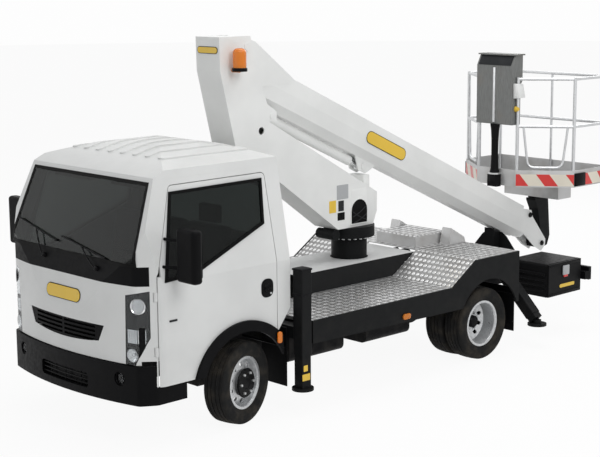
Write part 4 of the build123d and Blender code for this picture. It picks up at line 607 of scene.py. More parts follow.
class Bench:
    """Hand tools: each leaves one mesh object at the origin with its place in its mesh."""

    @staticmethod
    def begin() -> None:
        """Leave edit mode and select nothing."""
        if bpy.context.mode != "OBJECT":
            bpy.ops.object.mode_set(mode="OBJECT")
        bpy.ops.object.select_all(action="DESELECT")

    @staticmethod
    def hold(obj: Object) -> None:
        """Make one object the selected, active one.

        Args:
            obj: the object.
        """
        Bench.begin()
        obj.select_set(True)
        bpy.context.view_layer.objects.active = obj

    @staticmethod
    def apply(obj: Object, modifier: bpy.types.Modifier) -> None:
        """Apply a modifier for good."""
        Bench.hold(obj)
        bpy.ops.object.modifier_apply(modifier=modifier.name)

    @staticmethod
    def bevel(obj: Object, width: float, segments: int = 2) -> Object:
        """Round the sharp edges of an object.

        Args:
            obj: the object.
            width: width of the rounding.
            segments: faces across it.

        Returns:
            The same object.
        """
        made = obj.modifiers.new("edge", "BEVEL")
        made.width, made.segments, made.limit_method = width, segments, "ANGLE"
        Bench.apply(obj, made)
        return obj

    @staticmethod
    def settle(obj: Object) -> Object:
        """Put an object's place into its mesh.

        Args:
            obj: the object.

        Returns:
            The same object.
        """
        Bench.hold(obj)
        bpy.ops.object.transform_apply(location=True, rotation=True, scale=True)
        return obj

    @staticmethod
    @contextmanager
    def editing(obj: Object) -> Iterator[None]:
        """Edit mode on one object, with all of its mesh selected.

        Args:
            obj: the object.
        """
        Bench.hold(obj)
        bpy.ops.object.mode_set(mode="EDIT")
        bpy.ops.mesh.select_all(action="SELECT")
        yield
        bpy.ops.object.mode_set(mode="OBJECT")

    @staticmethod
    def clean(obj: Object) -> Object:
        """Merge doubles and point the faces outwards.

        Args:
            obj: the object.

        Returns:
            The same object.
        """
        with Bench.editing(obj):
            bpy.ops.mesh.remove_doubles(threshold=1e-5)
            bpy.ops.mesh.dissolve_degenerate(threshold=1e-6)
            bpy.ops.mesh.normals_make_consistent(inside=False)
        return obj

    @staticmethod
    def polygon(name: str, corners: Sequence[Point], fill: str = "NGON") -> Object:
        """Circle whose corners are moved to given places.

        Args:
            name: the object's name.
            corners: the places, in order.
            fill: Blender's fill type.

        Returns:
            The object.
        """
        Bench.begin()
        bpy.ops.mesh.primitive_circle_add(vertices=len(corners), fill_type=fill)
        obj = bpy.context.object
        obj.name = name
        for vertex, corner in zip(obj.data.vertices, corners):
            vertex.co = corner
        return obj

    @staticmethod
    def block(name: str, low: Point, high: Point, edge: float = 0.003, segments: int = 2) -> Object:
        """Block between two corners with rounded edges.

        Args:
            name: the object's name.
            low: one corner.
            high: the corner across from it.
            edge: width of the rounding.
            segments: faces across it.

        Returns:
            The block.
        """
        low, high = Vector(low), Vector(high)
        Bench.begin()
        bpy.ops.mesh.primitive_cube_add(size=1.0, location=(low + high) / 2)
        obj = bpy.context.object
        obj.name = name
        obj.scale = [abs(value) for value in high - low]
        Bench.settle(obj)
        return Bench.bevel(obj, edge, segments)

    @staticmethod
    def plate(name: str, corners: Sequence[Point], thickness: float, edge: float = 0.0) -> Object:
        """Flat plate on a polygon, thickened along the polygon's normal.

        Args:
            name: the object's name.
            corners: the polygon, anticlockwise as seen from its outer side.
            thickness: metres.
            edge: width of the rounding, or nought.

        Returns:
            The plate.
        """
        obj = Bench.polygon(name, corners)
        first, second, last = Vector(corners[0]), Vector(corners[1]), Vector(corners[-1])
        normal = (second - first).cross(last - first).normalized()
        with Bench.editing(obj):
            bpy.ops.mesh.extrude_region_move(TRANSFORM_OT_translate={"value": normal * thickness})
        Bench.clean(obj)
        return Bench.bevel(obj, edge, 2) if edge else obj

    @staticmethod
    def frame(name: str, corners: Sequence[Point], width: float, thickness: float) -> Object:
        """Flat frame: a polygon's rim of one width, thickened.

        Args:
            name: the object's name.
            corners: the outer polygon.
            width: width of the rim.
            thickness: metres, half to each side.

        Returns:
            The frame.
        """
        obj = Bench.polygon(name, corners)
        with Bench.editing(obj):
            bpy.ops.mesh.inset(thickness=width, use_even_offset=True)
            bpy.ops.mesh.delete(type="FACE")
        wall = obj.modifiers.new("wall", "SOLIDIFY")
        wall.thickness, wall.offset = thickness, 0.0
        Bench.apply(obj, wall)
        return obj

    @staticmethod
    def turned(name: str, profile: Sequence[tuple[float, float]], origin: Point, axis: Point,
               steps: int = 40) -> Object:
        """Closed profile of radius and height spun about an axis.

        Args:
            name: the object's name.
            profile: pairs of radius and height.
            origin: place of radius and height nought.
            axis: direction of the height.
            steps: faces round it.

        Returns:
            The turned piece.
        """
        obj = Bench.polygon(name, [(radius, 0.0, along) for radius, along in profile], "NOTHING")
        spin = obj.modifiers.new("spin", "SCREW")
        spin.steps = spin.render_steps = steps
        spin.use_merge_vertices = True
        spin.merge_threshold = 1e-5
        Bench.apply(obj, spin)
        Bench.clean(obj)
        turn = Vector(axis).to_track_quat("Z", "Y").to_matrix().to_4x4()
        obj.matrix_world = Matrix.Translation(Vector(origin)) @ turn
        return Bench.settle(obj)

    @staticmethod
    def rod(name: str, points: Sequence[Point], radius: float, curved: bool = True) -> Object:
        """Round bar or pipe along points.

        Args:
            name: the object's name.
            points: its route.
            radius: metres.
            curved: bend smoothly, or else go straight from point to point.

        Returns:
            The rod.
        """
        Bench.begin()
        bpy.ops.curve.primitive_nurbs_path_add(location=(0, 0, 0))
        obj = bpy.context.object
        obj.name = name
        obj.data.splines.clear()
        spline = obj.data.splines.new("NURBS" if curved else "POLY")
        spline.points.add(len(points) - 1)
        for made, point in zip(spline.points, points):
            made.co = (*point, 1.0)
        if curved:
            spline.order_u = 3
            spline.use_endpoint_u = True
        obj.data.dimensions = "3D"
        obj.data.bevel_depth = radius
        obj.data.bevel_resolution = 3
        obj.data.use_fill_caps = True
        Bench.hold(obj)
        bpy.ops.object.convert(target="MESH")
        return bpy.context.object

    @staticmethod
    def copies(obj: Object, moves: Iterable[Matrix], drop: bool = False) -> list[Object]:
        """Copies of an object, each with its own mesh moved by a matrix.

        Args:
            obj: the object.
            moves: one matrix for each copy.
            drop: remove the first object.

        Returns:
            The copies.
        """
        made = []
        for move in moves:
            copy = obj.copy()
            copy.data = obj.data.copy()
            copy.data.transform(move)
            bpy.context.scene.collection.objects.link(copy)
            made.append(copy)
        if drop:
            bpy.data.objects.remove(obj)
        return made

    @staticmethod
    def join(name: str, objects: Sequence[Object]) -> Object:
        """Join objects into one.

        Args:
            name: the joined object's name.
            objects: the objects.

        Returns:
            The joined object.
        """
        Bench.begin()
        for obj in objects:
            obj.select_set(True)
        bpy.context.view_layer.objects.active = objects[0]
        bpy.ops.object.join()
        objects[0].name = name
        return objects[0]

    @staticmethod
    def dress(obj: Object, finish: Finish, body: str, slot: str, replaces: Sequence[str] = (),
              angle: float = 35.0) -> Object:
        """Give a finished piece its material, shading and body.

        Args:
            obj: the piece.
            finish: its finish; kept where the piece already has materials.
            body: the CAD body it rides on.
            slot: the record's material slot; not used.
            replaces: CAD nodes it stands for.
            angle: largest angle in degrees shaded smooth.

        Returns:
            The same piece.
        """
        if not obj.data.materials:
            obj.data.materials.append(finish.material())
        Bench.hold(obj)
        bpy.ops.object.shade_smooth_by_angle(angle=math.radians(angle))
        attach(obj, body)
        if replaces:
            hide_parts(*replaces)
        LOG.info("%s: %d faces on %s", obj.name, len(obj.data.polygons), body)
        return obj


def rounded(length: float, height: float, radius: float, steps: int = 5) -> list[tuple[float, float]]:
    """Corners of a rectangle with round corners, about its middle, anticlockwise.

    Args:
        length: extent along the first direction.
        height: extent along the second.
        radius: corner radius.
        steps: points per corner.

    Returns:
        The corner points.
    """
    points = []
    for across, up, start in ((1, 1, 0.0), (-1, 1, 90.0), (-1, -1, 180.0), (1, -1, 270.0)):
        for step in range(steps + 1):
            turn = math.radians(start + 90.0 * step / steps)
            points.append((across * (length / 2 - radius) + radius * math.cos(turn),
                           up * (height / 2 - radius) + radius * math.sin(turn)))
    return points


def laid(points: Sequence[tuple[float, float]], middle: Point, right: Point, up: Point) -> list[Vector]:
    """Flat points laid on a plane.

    Args:
        points: pairs along right and up.
        middle: the plane's origin.
        right: first direction.
        up: second direction.

    Returns:
        The points in the row frame.
    """
    right, up, middle = Vector(right).normalized(), Vector(up).normalized(), Vector(middle)
    return [middle + right * across + up * above for across, above in points]


def outward(points: Sequence[tuple[float, float]], middle: Point, hand: Hand) -> list[Vector]:
    """Flat points laid on an upright plane along X, in the order that faces outwards.

    Args:
        points: pairs along X and Z.
        middle: the plane's origin.
        hand: the side that the plane looks to.

    Returns:
        The points in the row frame.
    """
    placed = laid(points, middle, AHEAD, UP)
    return placed[::-1] if hand is Hand.LEFT else placed


@dataclass
class CabFace:
    """The cab's front surface: a leaning profile and a bowed plan, whichever lies further back."""

    profile: Profile = ((0.745, 2.046), (0.985, 1.408), (1.020, 1.262), (1.055, 0.960), (1.055, 0.5))
    crown: float = 1.055
    bow: float = 6.5

    def station(self, y: float, z: float) -> float:
        """Station of the surface at a place seen from the front.

        Args:
            y: metres to the left.
            z: metres above the ground.

        Returns:
            Metres ahead of the front axle.
        """
        for (s0, z0), (s1, z1) in zip(self.profile, self.profile[1:]):
            if z >= z1:
                lean = s0 + (s1 - s0) * (z0 - z) / (z0 - z1)
                break
        else:
            lean = self.profile[-1][0]
        return min(lean, self.crown - y * y / self.bow)

    def point(self, y: float, z: float, lift: float = 0.0) -> Vector:
        """Point on the surface, moved forward by a lift."""
        return at(self.station(y, z) + lift, y, z)


@dataclass
class CabTrim:
    """Seals, wipers, bare front plate, fog lamps, bumper slats, headlamps and sun visors of the cab."""

    face: CabFace = field(default_factory=CabFace)
    screen: tuple[float, float, float, float] = (0.824, 1.404, 0.750, 2.014)
    screen_rows: int = 24
    screen_posts: int = 10
    wipers: tuple[Profile, ...] = (
        ((-0.30, 1.36), (-0.74, 1.60), (-0.16, 1.49)), ((0.40, 1.35), (-0.10, 1.53), (0.50, 1.44)))
    wiper_boss: Profile = ((0, -0.01), (0.02, -0.01), (0.02, 0.02), (0.014, 0.03), (0, 0.03))
    plate_size: tuple[float, float] = (0.44, 0.095)
    plate_z: float = 1.112
    fog: Place = (0.985, 0.65, 0.54)
    fog_ring: Profile = ((0.044, -0.03), (0.053, -0.03), (0.053, 0.012), (0.046, 0.016), (0.042, 0.008))
    fog_cup: Profile = ((0, -0.040), (0.053, -0.040), (0.053, -0.029), (0, -0.031))
    fog_glass: Profile = ((0, -0.028), (0.044, -0.028), (0.044, 0.0), (0.03, 0.008), (0, 0.012))
    lamp_bowls: tuple[Place, ...] = ((0.804, 1.112, 0.060), (0.760, 0.735, 0.052))
    lamp_depth: float = 0.022
    dish: Profile = (
        (0, 0.001), (0.4, 0.002), (0.7, 0.007), (0.9, 0.014), (1, 0.019), (1, 0.016), (0.88, 0.010), (0.68, 0.003),
        (0.4, -0.002), (0, -0.003))
    bulb: Profile = ((0, 0), (0.011, 0.001), (0.012, 0.008), (0.007, 0.012), (0, 0.013))
    flute_depth: float = 0.016
    flute_y: tuple[float, float] = (0.720, 0.838)
    flute_z: tuple[float, float] = (0.826, 0.930)
    flutes: int = 8
    bar_y: tuple[float, float] = (0.8160, 0.8460)
    bar_z: tuple[float, float, float] = (0.718, 0.799, 0.948)
    bar_x: float = 3.0014
    bar_slope: float = 1.203
    bumper_front: float = 1.070
    bumper_bow: float = 6.37

    def build(self, frame: dict) -> None:
        """Make every piece of the cab's front.
        """
        self.screen_seal()
        self.rear_seal()
        self.wiper_set()
        self.front_plate()
        self.fog_lamps()
        self.bumper_grid()
        self.headlamps(frame)
        self.visors()

    def screen_seal(self) -> None:
        """Black rubber round the windscreen, bent to the cab's face."""
        low_y, low_z, top_y, top_z = self.screen
        rows = [step / self.screen_rows for step in range(self.screen_rows + 1)]
        posts = [step / self.screen_posts for step in range(1, self.screen_posts)]
        corners = [(-low_y + 2 * low_y * share, low_z) for share in rows]
        corners += [(low_y + (top_y - low_y) * share, low_z + (top_z - low_z) * share) for share in posts]
        corners += [(top_y - 2 * top_y * share, top_z) for share in rows]
        corners += [(-top_y - (low_y - top_y) * share, top_z + (low_z - top_z) * share) for share in posts]
        seal = Bench.frame("windscreen_seal", [Vector((0.0, y, z)) for y, z in corners], 0.026, 0.006)
        for vertex in seal.data.vertices:
            vertex.co = self.face.point(vertex.co.y, vertex.co.z, vertex.co.x + 0.001)
        Bench.dress(seal, Kit.seal, "chassis", "black_trim")

    def rear_seal(self) -> None:
        """Black rubber round the rear window."""
        corners = laid(rounded(1.27, 0.45, 0.07), at(-0.502, 0, 1.64), LEFTWARD, UP)
        Bench.dress(Bench.frame("rear_window_seal", corners, 0.022, 0.008), Kit.seal, "chassis", "black_trim")

    def wiper_set(self) -> None:
        """Two wipers: pivot boss, cranked arm, blade with its rubber."""
        parts = []
        for pivot, start, end in self.wipers:
            boss = self.face.point(*pivot)
            grip = self.face.point((start[0] + end[0]) / 2, (start[1] + end[1]) / 2, 0.034)
            elbow = boss.lerp(grip, 0.35) + Vector((0.03, 0, 0))
            blade = [self.face.point(start[0] + (end[0] - start[0]) * t, start[1] + (end[1] - start[1]) * t, 0.022)
                     for t in (0.0, 0.25, 0.5, 0.75, 1.0)]
            rubber = [point - Vector((0.011, 0, 0.004)) for point in blade]
            parts += [
                Bench.turned("wiper_boss", self.wiper_boss, boss, (0.9, 0, 0.4), 20),
                Bench.rod("wiper_arm", [boss + Vector((0.024, 0, 0.008)), elbow, grip], 0.006),
                Bench.rod("wiper_blade", blade, 0.007),
                Bench.rod("wiper_rubber", rubber, 0.004)]
        Bench.dress(Bench.join("wipers", parts), Kit.smooth_trim, "chassis", "black_trim")

    def front_plate(self) -> None:
        """Bare pill-shaped plate on the nose with a dark rim."""
        length, height = self.plate_size
        for name, grow, lift, finish in (("front_plate_rim", 0.012, 0.001, Kit.smooth_trim),
                                         ("front_plate", 0.0, 0.003, Kit.yellow)):
            flat = rounded(length + grow, height + grow, (height + grow) / 2 - 0.001, 8)
            piece = Bench.plate(name, [Vector((0, y, z + self.plate_z)) for y, z in flat], 0.003)
            for vertex in piece.data.vertices:
                vertex.co = self.face.point(vertex.co.y, vertex.co.z, lift + abs(vertex.co.x))
            Bench.dress(Bench.clean(piece), finish, "chassis", "black_trim")

    def fog_lamps(self) -> None:
        """Round fog lamps in the bumper's recesses."""
        rings, bowls = [], []
        s, y, z = self.fog
        for hand in Hand:
            for parts, profile in ((rings, self.fog_ring), (rings, self.fog_cup), (bowls, self.fog_glass)):
                axis = (1, hand.value * 0.12, 0)
                parts.append(Bench.turned("fog_part", profile, at(s, hand.value * y, z), axis, 36))
        Bench.dress(Bench.join("fog_lamp_rings", rings), Kit.smooth_trim, "chassis", "black_trim")
        Bench.dress(Bench.join("fog_lamp_glass", bowls), Kit.lens, "chassis", "lamp_glass")

    def headlamps(self, frame: dict) -> None:
        """Dark housings with bright dishes and flutes, behind a thin clear skin shaped like the CAD lens.
        """
        node = frame["nodes"]["headlamps"]
        skin = Bench.copies(node, [Matrix.Identity(4)])[0]
        for key in list(skin.keys()):
            del skin[key]
        skin.parent = None
        skin.name = "headlamp_glass"
        Bench.clean(skin)
        skin.data.materials.clear()
        housing = Bench.copies(skin, [Matrix.Identity(4)])[0]
        housing.name = "headlamp_housing"
        self.peel(housing, True, 0.0015)
        self.peel(skin, False, 0.002)
        Bench.dress(housing, Kit.smooth_trim, "chassis", "black_trim", ("headlamps",))
        mesh = node.data
        surface = BVHTree.FromPolygons([vertex.co for vertex in mesh.vertices],
                                       [tuple(face.vertices) for face in mesh.polygons])
        bright = []
        first, last = self.flute_y
        for hand in Hand:
            for y, z, radius in self.lamp_bowls:
                seat, axis = self.lamp_seat(surface, hand.value * y, z, self.lamp_depth)
                dish = [(radius * share, height) for share, height in self.dish]
                bright.append(Bench.turned("dish", dish, seat, axis, 36))
                bright.append(Bench.turned("bulb", self.bulb, seat, axis, 24))
            for index in range(self.flutes):
                y = hand.value * (first + (last - first) * index / (self.flutes - 1))
                ends = [self.lamp_seat(surface, y, z, self.flute_depth)[0] for z in self.flute_z]
                bright.append(Bench.rod("flute", ends, 0.0085, False))
        Bench.dress(Bench.join("headlamp_reflectors", bright), Kit.reflector, "chassis", "rod_chrome")
        Bench.dress(skin, Kit.lens, "chassis", "lamp_glass")
        self.lamp_bars()

    def lamp_bars(self) -> None:
        """Dark upright over the cab shell's edge that divides each lamp's lower half: painted shade, a thin dark sheet
        that stands for the shade inside the lamp.
        """
        inner, outer = self.bar_y
        low, middle, top = self.bar_z
        for hand in Hand:
            corners = [Vector((self.bar_x - self.bar_slope * (y - inner), hand.value * y, z))
                       for y, z in ((inner, low), (outer, middle), (outer, top), (inner, top))]
            # Painted shade: a thin dark sheet in front of the cab shell's edge, for the shade inside the lamp.
            bar = Bench.plate(f"headlamp_bar_{hand.label}", corners if hand.value > 0 else corners[::-1], 0.001)
            Bench.dress(bar, Kit.smooth_trim, "chassis", "black_trim")

    @staticmethod
    def peel(lamp: Object, front: bool, thickness: float) -> None:
        """Take one side's faces off a closed lamp body and give the rest a wall.

        Args:
            lamp: the closed body.
            front: take the faces that look forward, or else the others.
            thickness: wall in metres, inwards.
        """
        Bench.hold(lamp)
        bpy.ops.object.mode_set(mode="EDIT")
        bpy.ops.mesh.select_mode(type="FACE")
        bpy.ops.mesh.select_all(action="DESELECT")
        bpy.ops.object.mode_set(mode="OBJECT")
        for face in lamp.data.polygons:
            face.select = (face.normal.x > 0.2) == front
        bpy.ops.object.mode_set(mode="EDIT")
        bpy.ops.mesh.delete(type="FACE")
        bpy.ops.mesh.select_mode(type="VERT")
        bpy.ops.object.mode_set(mode="OBJECT")
        wall = lamp.modifiers.new("wall", "SOLIDIFY")
        wall.thickness, wall.offset = thickness, -1.0
        Bench.apply(lamp, wall)

    @staticmethod
    def lamp_seat(surface: BVHTree, y: float, z: float, depth: float) -> tuple[Vector, Vector]:
        """Place and direction behind the lamp's own front surface.

        Args:
            surface: the faces of the CAD lamp lens.
            y: metres to the left.
            z: metres above the ground.
            depth: metres behind the surface.

        Returns:
            The seat and the surface's normal.
        """
        place, normal, _, _ = surface.ray_cast(Vector((4.0, y, z)), Vector((-1, 0, 0)))
        if place is None:
            LOG.warning("no lamp surface at %.3f, %.3f", y, z)
            place, normal = at(0.9, y, z), Vector((1, 0, 0))
        return place - Vector((depth, 0, 0)), normal

    def bumper_grid(self) -> None:
        """Dark slats and their backing behind the bumper's opening."""
        def place(y: float, z: float, back: float) -> Vector:
            """Point behind the bumper's bowed front."""
            return at(self.bumper_front - y * y / self.bumper_bow - back, y, z)

        flat = laid(rounded(0.74, 0.20, 0.02, 3), (0, 0, 0.470), LEFTWARD, UP)
        backing = Bench.plate("bumper_backing", flat, 0.006)
        for vertex in backing.data.vertices:
            vertex.co = place(vertex.co.y, vertex.co.z, 0.034 + abs(vertex.co.x))
        slats = [Bench.rod("slat", [place(y, z, 0.020) for y in (-0.32, -0.16, 0.0, 0.16, 0.32)], 0.007)
                 for z in (0.435, 0.470, 0.505)]
        posts = [Bench.rod("post", [place(y, z, 0.026) for z in (0.405, 0.535)], 0.006, False)
                 for y in (-0.2, 0.0, 0.2)]
        grid = Bench.join("bumper_grid", [Bench.clean(backing), *slats, *posts])
        Bench.dress(grid, Kit.smooth_trim, "chassis", "black_trim")

    def visors(self) -> None:
        """Two folded sun visors under the roof."""
        for hand in Hand:
            y = hand.value * 0.38
            low, high = at(0.50, y - 0.24, 1.93), at(0.66, y + 0.24, 1.955)
            visor = Bench.block(f"sun_visor_{hand.label}", low, high, 0.009, 3)
            Bench.dress(visor, Kit.dash, "chassis", "dash_plastic")


@dataclass
class DoorTrim:
    """Window rubber, handle, lock, repeater, mirror glass and pillar seal of one door."""

    hand: Hand
    half: float = 0.930
    top_half: float = 0.795
    waist: float = 1.280
    lean_top: float = 2.000
    window: Profile = ((0.622, 1.935), (-0.305, 1.945), (-0.270, 1.592), (0.480, 1.300), (0.770, 1.285))
    window_middle: Place = (0.2, 0, 1.6)
    seal_overlap: float = 0.006
    handle: tuple[float, float] = (-0.250, 1.085)
    knob: Profile = ((0, 0.004), (0.038, 0.004), (0.040, 0.010), (0.034, 0.014), (0.026, 0.009), (0.012, 0.009),
                     (0, 0.011))
    lock: Profile = ((0, 0.004), (0.009, 0.004), (0.009, 0.009), (0.007, 0.010), (0, 0.008))
    repeater: tuple[float, float] = (0.700, 0.985)
    mirror: Place = (0.6425, 1.1225, 1.50)
    pillar: Profile = ((0.8265, 1.331), (0.800, 1.331), (0.800, 1.406), (0.8025, 1.406))
    pillar_y: float = 0.890

    @property
    def body(self) -> str:
        """CAD body of this door."""
        return f"cab_door_{self.hand.label}"

    def skin(self, z: float) -> float:
        """Distance of the door's skin from the middle plane."""
        drop = max(0.0, z - self.waist) / (self.lean_top - self.waist)
        return self.half - (self.half - self.top_half) * drop

    def low_skin(self, s: float, z: float, lift: float = 0.0) -> Vector:
        """Point on the upright skin below the waist, moved outwards by a lift."""
        return at(s, self.hand.value * (self.half + lift), z)

    def build(self) -> None:
        """Make the door's pieces."""
        self.window_seal()
        self.handle_set()
        mark = outward(rounded(0.075, 0.016, 0.004), self.low_skin(*self.repeater), self.hand)
        mark = Bench.plate(f"door_repeater_{self.hand.label}", mark, 0.005, 0.0015)
        Bench.dress(mark, Kit.dash, self.body, "dash_plastic")
        self.mirror_glass()
        corners = [at(s, self.hand.value * self.pillar_y, z) for s, z in self.pillar]
        seal = Bench.plate(f"pillar_seal_{self.hand.label}", corners[:: self.hand.value], 0.011)
        Bench.dress(seal, Kit.seal, "chassis", "black_trim")

    def window_seal(self) -> None:
        """Black rubber round the door's window."""
        middle = at(*self.window_middle)
        ring = [at(s, self.hand.value * self.skin(z), z) for s, z in self.window]
        grown = [point + (point - middle).normalized() * self.seal_overlap for point in ring]
        seal = Bench.frame(f"door_window_seal_{self.hand.label}", grown, 0.024, 0.010)
        Bench.dress(seal, Kit.seal, self.body, "black_trim")

    def handle_set(self) -> None:
        """Round dish with its knob and flap, and the lock below it."""
        s, z = self.handle
        centre, out = self.low_skin(s, z), (0, self.hand.value, 0)
        outline = outward(rounded(0.125, 0.150, 0.052, 8), centre, self.hand)
        dish = Bench.plate(f"door_handle_dish_{self.hand.label}", outline, 0.006, 0.002)
        knob = Bench.turned("knob", self.knob, centre, out, 32)
        flap = Bench.block("flap", self.low_skin(s - 0.030, z - 0.007, 0.010),
                           self.low_skin(s + 0.030, z + 0.007, 0.018), 0.003)
        Bench.dress(Bench.join(dish.name, [dish, knob, flap]), Kit.smooth_trim, self.body, "black_trim")
        place = self.low_skin(s - 0.034, z - 0.045)
        lock = Bench.turned(f"door_lock_{self.hand.label}", self.lock, place, out, 18)
        Bench.dress(lock, Kit.bolt, self.body, "galvanised")

    def mirror_glass(self) -> None:
        """Silvered glass on the mirror's back face with a raised rim."""
        s, y, z = self.mirror
        middle = at(s, self.hand.value * y, z)
        for name, width, height, lift, finish, slot in (
                ("mirror_rim", 0.180, 0.345, 0.004, Kit.smooth_trim, "black_trim"),
                ("mirror_glass", 0.165, 0.330, 0.006, Kit.mirror, "rod_chrome")):
            outline = laid(rounded(width, height, 0.03), middle, (0, -1, 0), UP)
            glass = Bench.plate(f"{name}_{self.hand.label}", outline, lift, 0.001)
            Bench.dress(glass, finish, self.body, slot)


@dataclass
class Seats:
    """Padded driver seat and bench, with sewn channels and head rests."""

    places: tuple[tuple[str, float, float], ...] = (("driver", 0.40, 0.50), ("bench", -0.33, 0.90))
    riser: float = 0.935
    cuts: int = 9
    rim: float = 0.99
    channel_depth: float = 0.006
    channel_place: float = 0.55
    channel_width: float = 0.06

    def pad(self, name: str, low: Vector, high: Vector, crown: float, lean: float = 0.0) -> Object:
        """Crowned cushion with pulled-in sides and channels across it.

        Args:
            name: name of the cushion.
            low: its low corner.
            high: its high corner.
            crown: swell of its faces in metres.
            lean: metres forward for each metre up.

        Returns:
            The cushion.
        """
        Bench.begin()
        bpy.ops.mesh.primitive_cube_add(size=2.0)
        obj = bpy.context.object
        obj.name = name
        with Bench.editing(obj):
            bpy.ops.mesh.subdivide(number_cuts=self.cuts)
        middle, half = (low + high) / 2, (high - low) / 2
        thin = min(range(3), key=lambda axis: half[axis])
        flat = [axis for axis in range(3) if axis != thin]
        for vertex in obj.data.vertices:
            unit = vertex.co.copy()
            soft = (1 - unit[flat[0]] ** 4) * (1 - unit[flat[1]] ** 4)
            aside = (abs(unit[flat[0]]) - self.channel_place) / self.channel_width
            channel = self.channel_depth * math.exp(-aside ** 2) * soft
            place = Vector([unit[axis] * (half[axis] - crown * 0.6) for axis in range(3)])
            if abs(unit[thin]) > self.rim:
                place[thin] += math.copysign(1, unit[thin]) * (crown * 0.6 * soft - channel)
            for axis in flat:
                if abs(unit[axis]) > self.rim:
                    place[axis] += math.copysign(crown * 0.45, unit[axis]) * (1 - unit[thin] ** 2)
            place.x += lean * (place.z + half.z)
            vertex.co = middle + place
        smooth = obj.modifiers.new("soft", "SUBSURF")
        smooth.levels = smooth.render_levels = 1
        Bench.apply(obj, smooth)
        return Bench.clean(obj)

    def build(self) -> None:
        """Make the pads, which stand for the CAD seats."""
        for label, y, width in self.places:
            half, rest = width / 2 - 0.004, 0.118
            pads = [
                self.pad(f"seat_cushion_{label}", at(-0.075, y - half, self.riser + 0.002),
                         at(0.428, y + half, 1.085), 0.02),
                self.pad(f"seat_back_{label}", at(-0.07, y - half, 1.06), at(0.045, y + half, 1.56), 0.02, -0.19),
                self.pad(f"head_rest_{label}", at(-0.16, y - rest, 1.565), at(-0.085, y + rest, 1.718), 0.012)]
            for pad in pads:
                Bench.dress(pad, Kit.seat, "chassis", "seat_cloth", ("seats",), 60.0)


@dataclass
class Wheel:
    """Grooved tyre, hub cover and nuts of one wheel position."""

    name: str
    centre: Vector
    axis: Vector
    steer: float
    twin: bool
    radius: float = 0.3359
    groove: float = 0.009
    groove_half: float = 0.004
    grooves: tuple[float, ...] = (-0.056, -0.020, 0.020, 0.056)
    twin_offset: float = 0.116
    wall: Profile = (
        (0.199, 0.0705), (0.2135, 0.0712), (0.219, 0.079), (0.231, 0.0905), (0.248, 0.0975), (0.259, 0.1008),
        (0.262, 0.1020), (0.268, 0.1020), (0.271, 0.1010), (0.290, 0.1010), (0.306, 0.0992), (0.318, 0.0962),
        (0.3265, 0.0905), (0.3315, 0.0825))
    inside: Profile = (
        (0.204, -0.046), (0.225, -0.062), (0.264, -0.086), (0.300, -0.082), (0.318, -0.062), (0.318, 0.062),
        (0.300, 0.082), (0.264, 0.086), (0.225, 0.062), (0.204, 0.046))
    front_cap: Profile = ((0, -0.012), (0.118, -0.012), (0.120, -0.004), (0.112, 0.006), (0.050, 0.006),
                          (0.045, 0.0025), (0, 0.0025))
    rear_cap: Profile = ((0, 0), (0.058, 0), (0.056, 0.036), (0.046, 0.046), (0.022, 0.050), (0, 0.050))
    nut: Profile = ((0, 0), (0.013, 0), (0.013, 0.008), (0.010, 0.016), (0.006, 0.016), (0.005, 0.020), (0, 0.020))
    nuts: int = 6

    def tyre_profile(self, shift: float) -> list[tuple[float, float]]:
        """Closed section of a tyre with four tread grooves, moved along the axle.

        Args:
            shift: metres along the axle.

        Returns:
            Pairs of radius and place along the axle.
        """
        crown = []
        for middle in reversed(self.grooves):
            for edge in (self.groove_half, -self.groove_half):
                along = middle + edge
                top = self.radius - 0.004 * (along / 0.076) ** 2
                cut = [(top, along), (top - self.groove, along - math.copysign(0.001, edge))]
                crown += cut if edge > 0 else cut[::-1]
        section = [*self.wall, *crown, *((r, -a) for r, a in reversed(self.wall)), *self.inside]
        return [(r, a + shift) for r, a in section]

    def build(self) -> None:
        """Make the wheel's pieces."""
        node = "tyre_" + self.name.replace("_wheel", "")
        shifts = (self.twin_offset, -self.twin_offset) if self.twin else (0.0,)
        tyres = [Bench.turned(f"{node}_ring", self.tyre_profile(shift), self.centre, self.axis, 84) for shift in shifts]
        rubber = TyreRubber(f"rubber_{self.name}", (0.016, 0.016, 0.016), 0.78, tuple(self.centre), self.steer)
        Bench.dress(Bench.join(f"grooved_{node}", tyres), rubber, self.name, "tyre_rubber", (node,), 25.0)
        reach, cap = (0.061, self.rear_cap) if self.twin else (0.090, self.front_cap)
        cap = [(r, reach + a) for r, a in cap]
        cover = Bench.turned(f"hub_cover_{self.name}", cap, self.centre, self.axis, 36)
        Bench.dress(cover, Kit.smooth_trim, self.name, "black_trim")
        circle, height = (0.080, reach) if self.twin else (0.085, reach + 0.005)
        hub = Matrix.Translation(self.centre) @ self.axis.to_track_quat("Z", "Y").to_matrix().to_4x4()
        seat = Matrix.Translation((circle, 0, height))
        moves = [hub @ Matrix.Rotation(math.tau * k / self.nuts, 4, "Z") @ seat for k in range(self.nuts)]
        nuts = Bench.copies(Bench.turned("nut", self.nut, (0, 0, 0), UP, 6), moves, True)
        Bench.dress(Bench.join(f"wheel_nuts_{self.name}", nuts), Kit.bolt, self.name, "galvanised", (), 20.0)


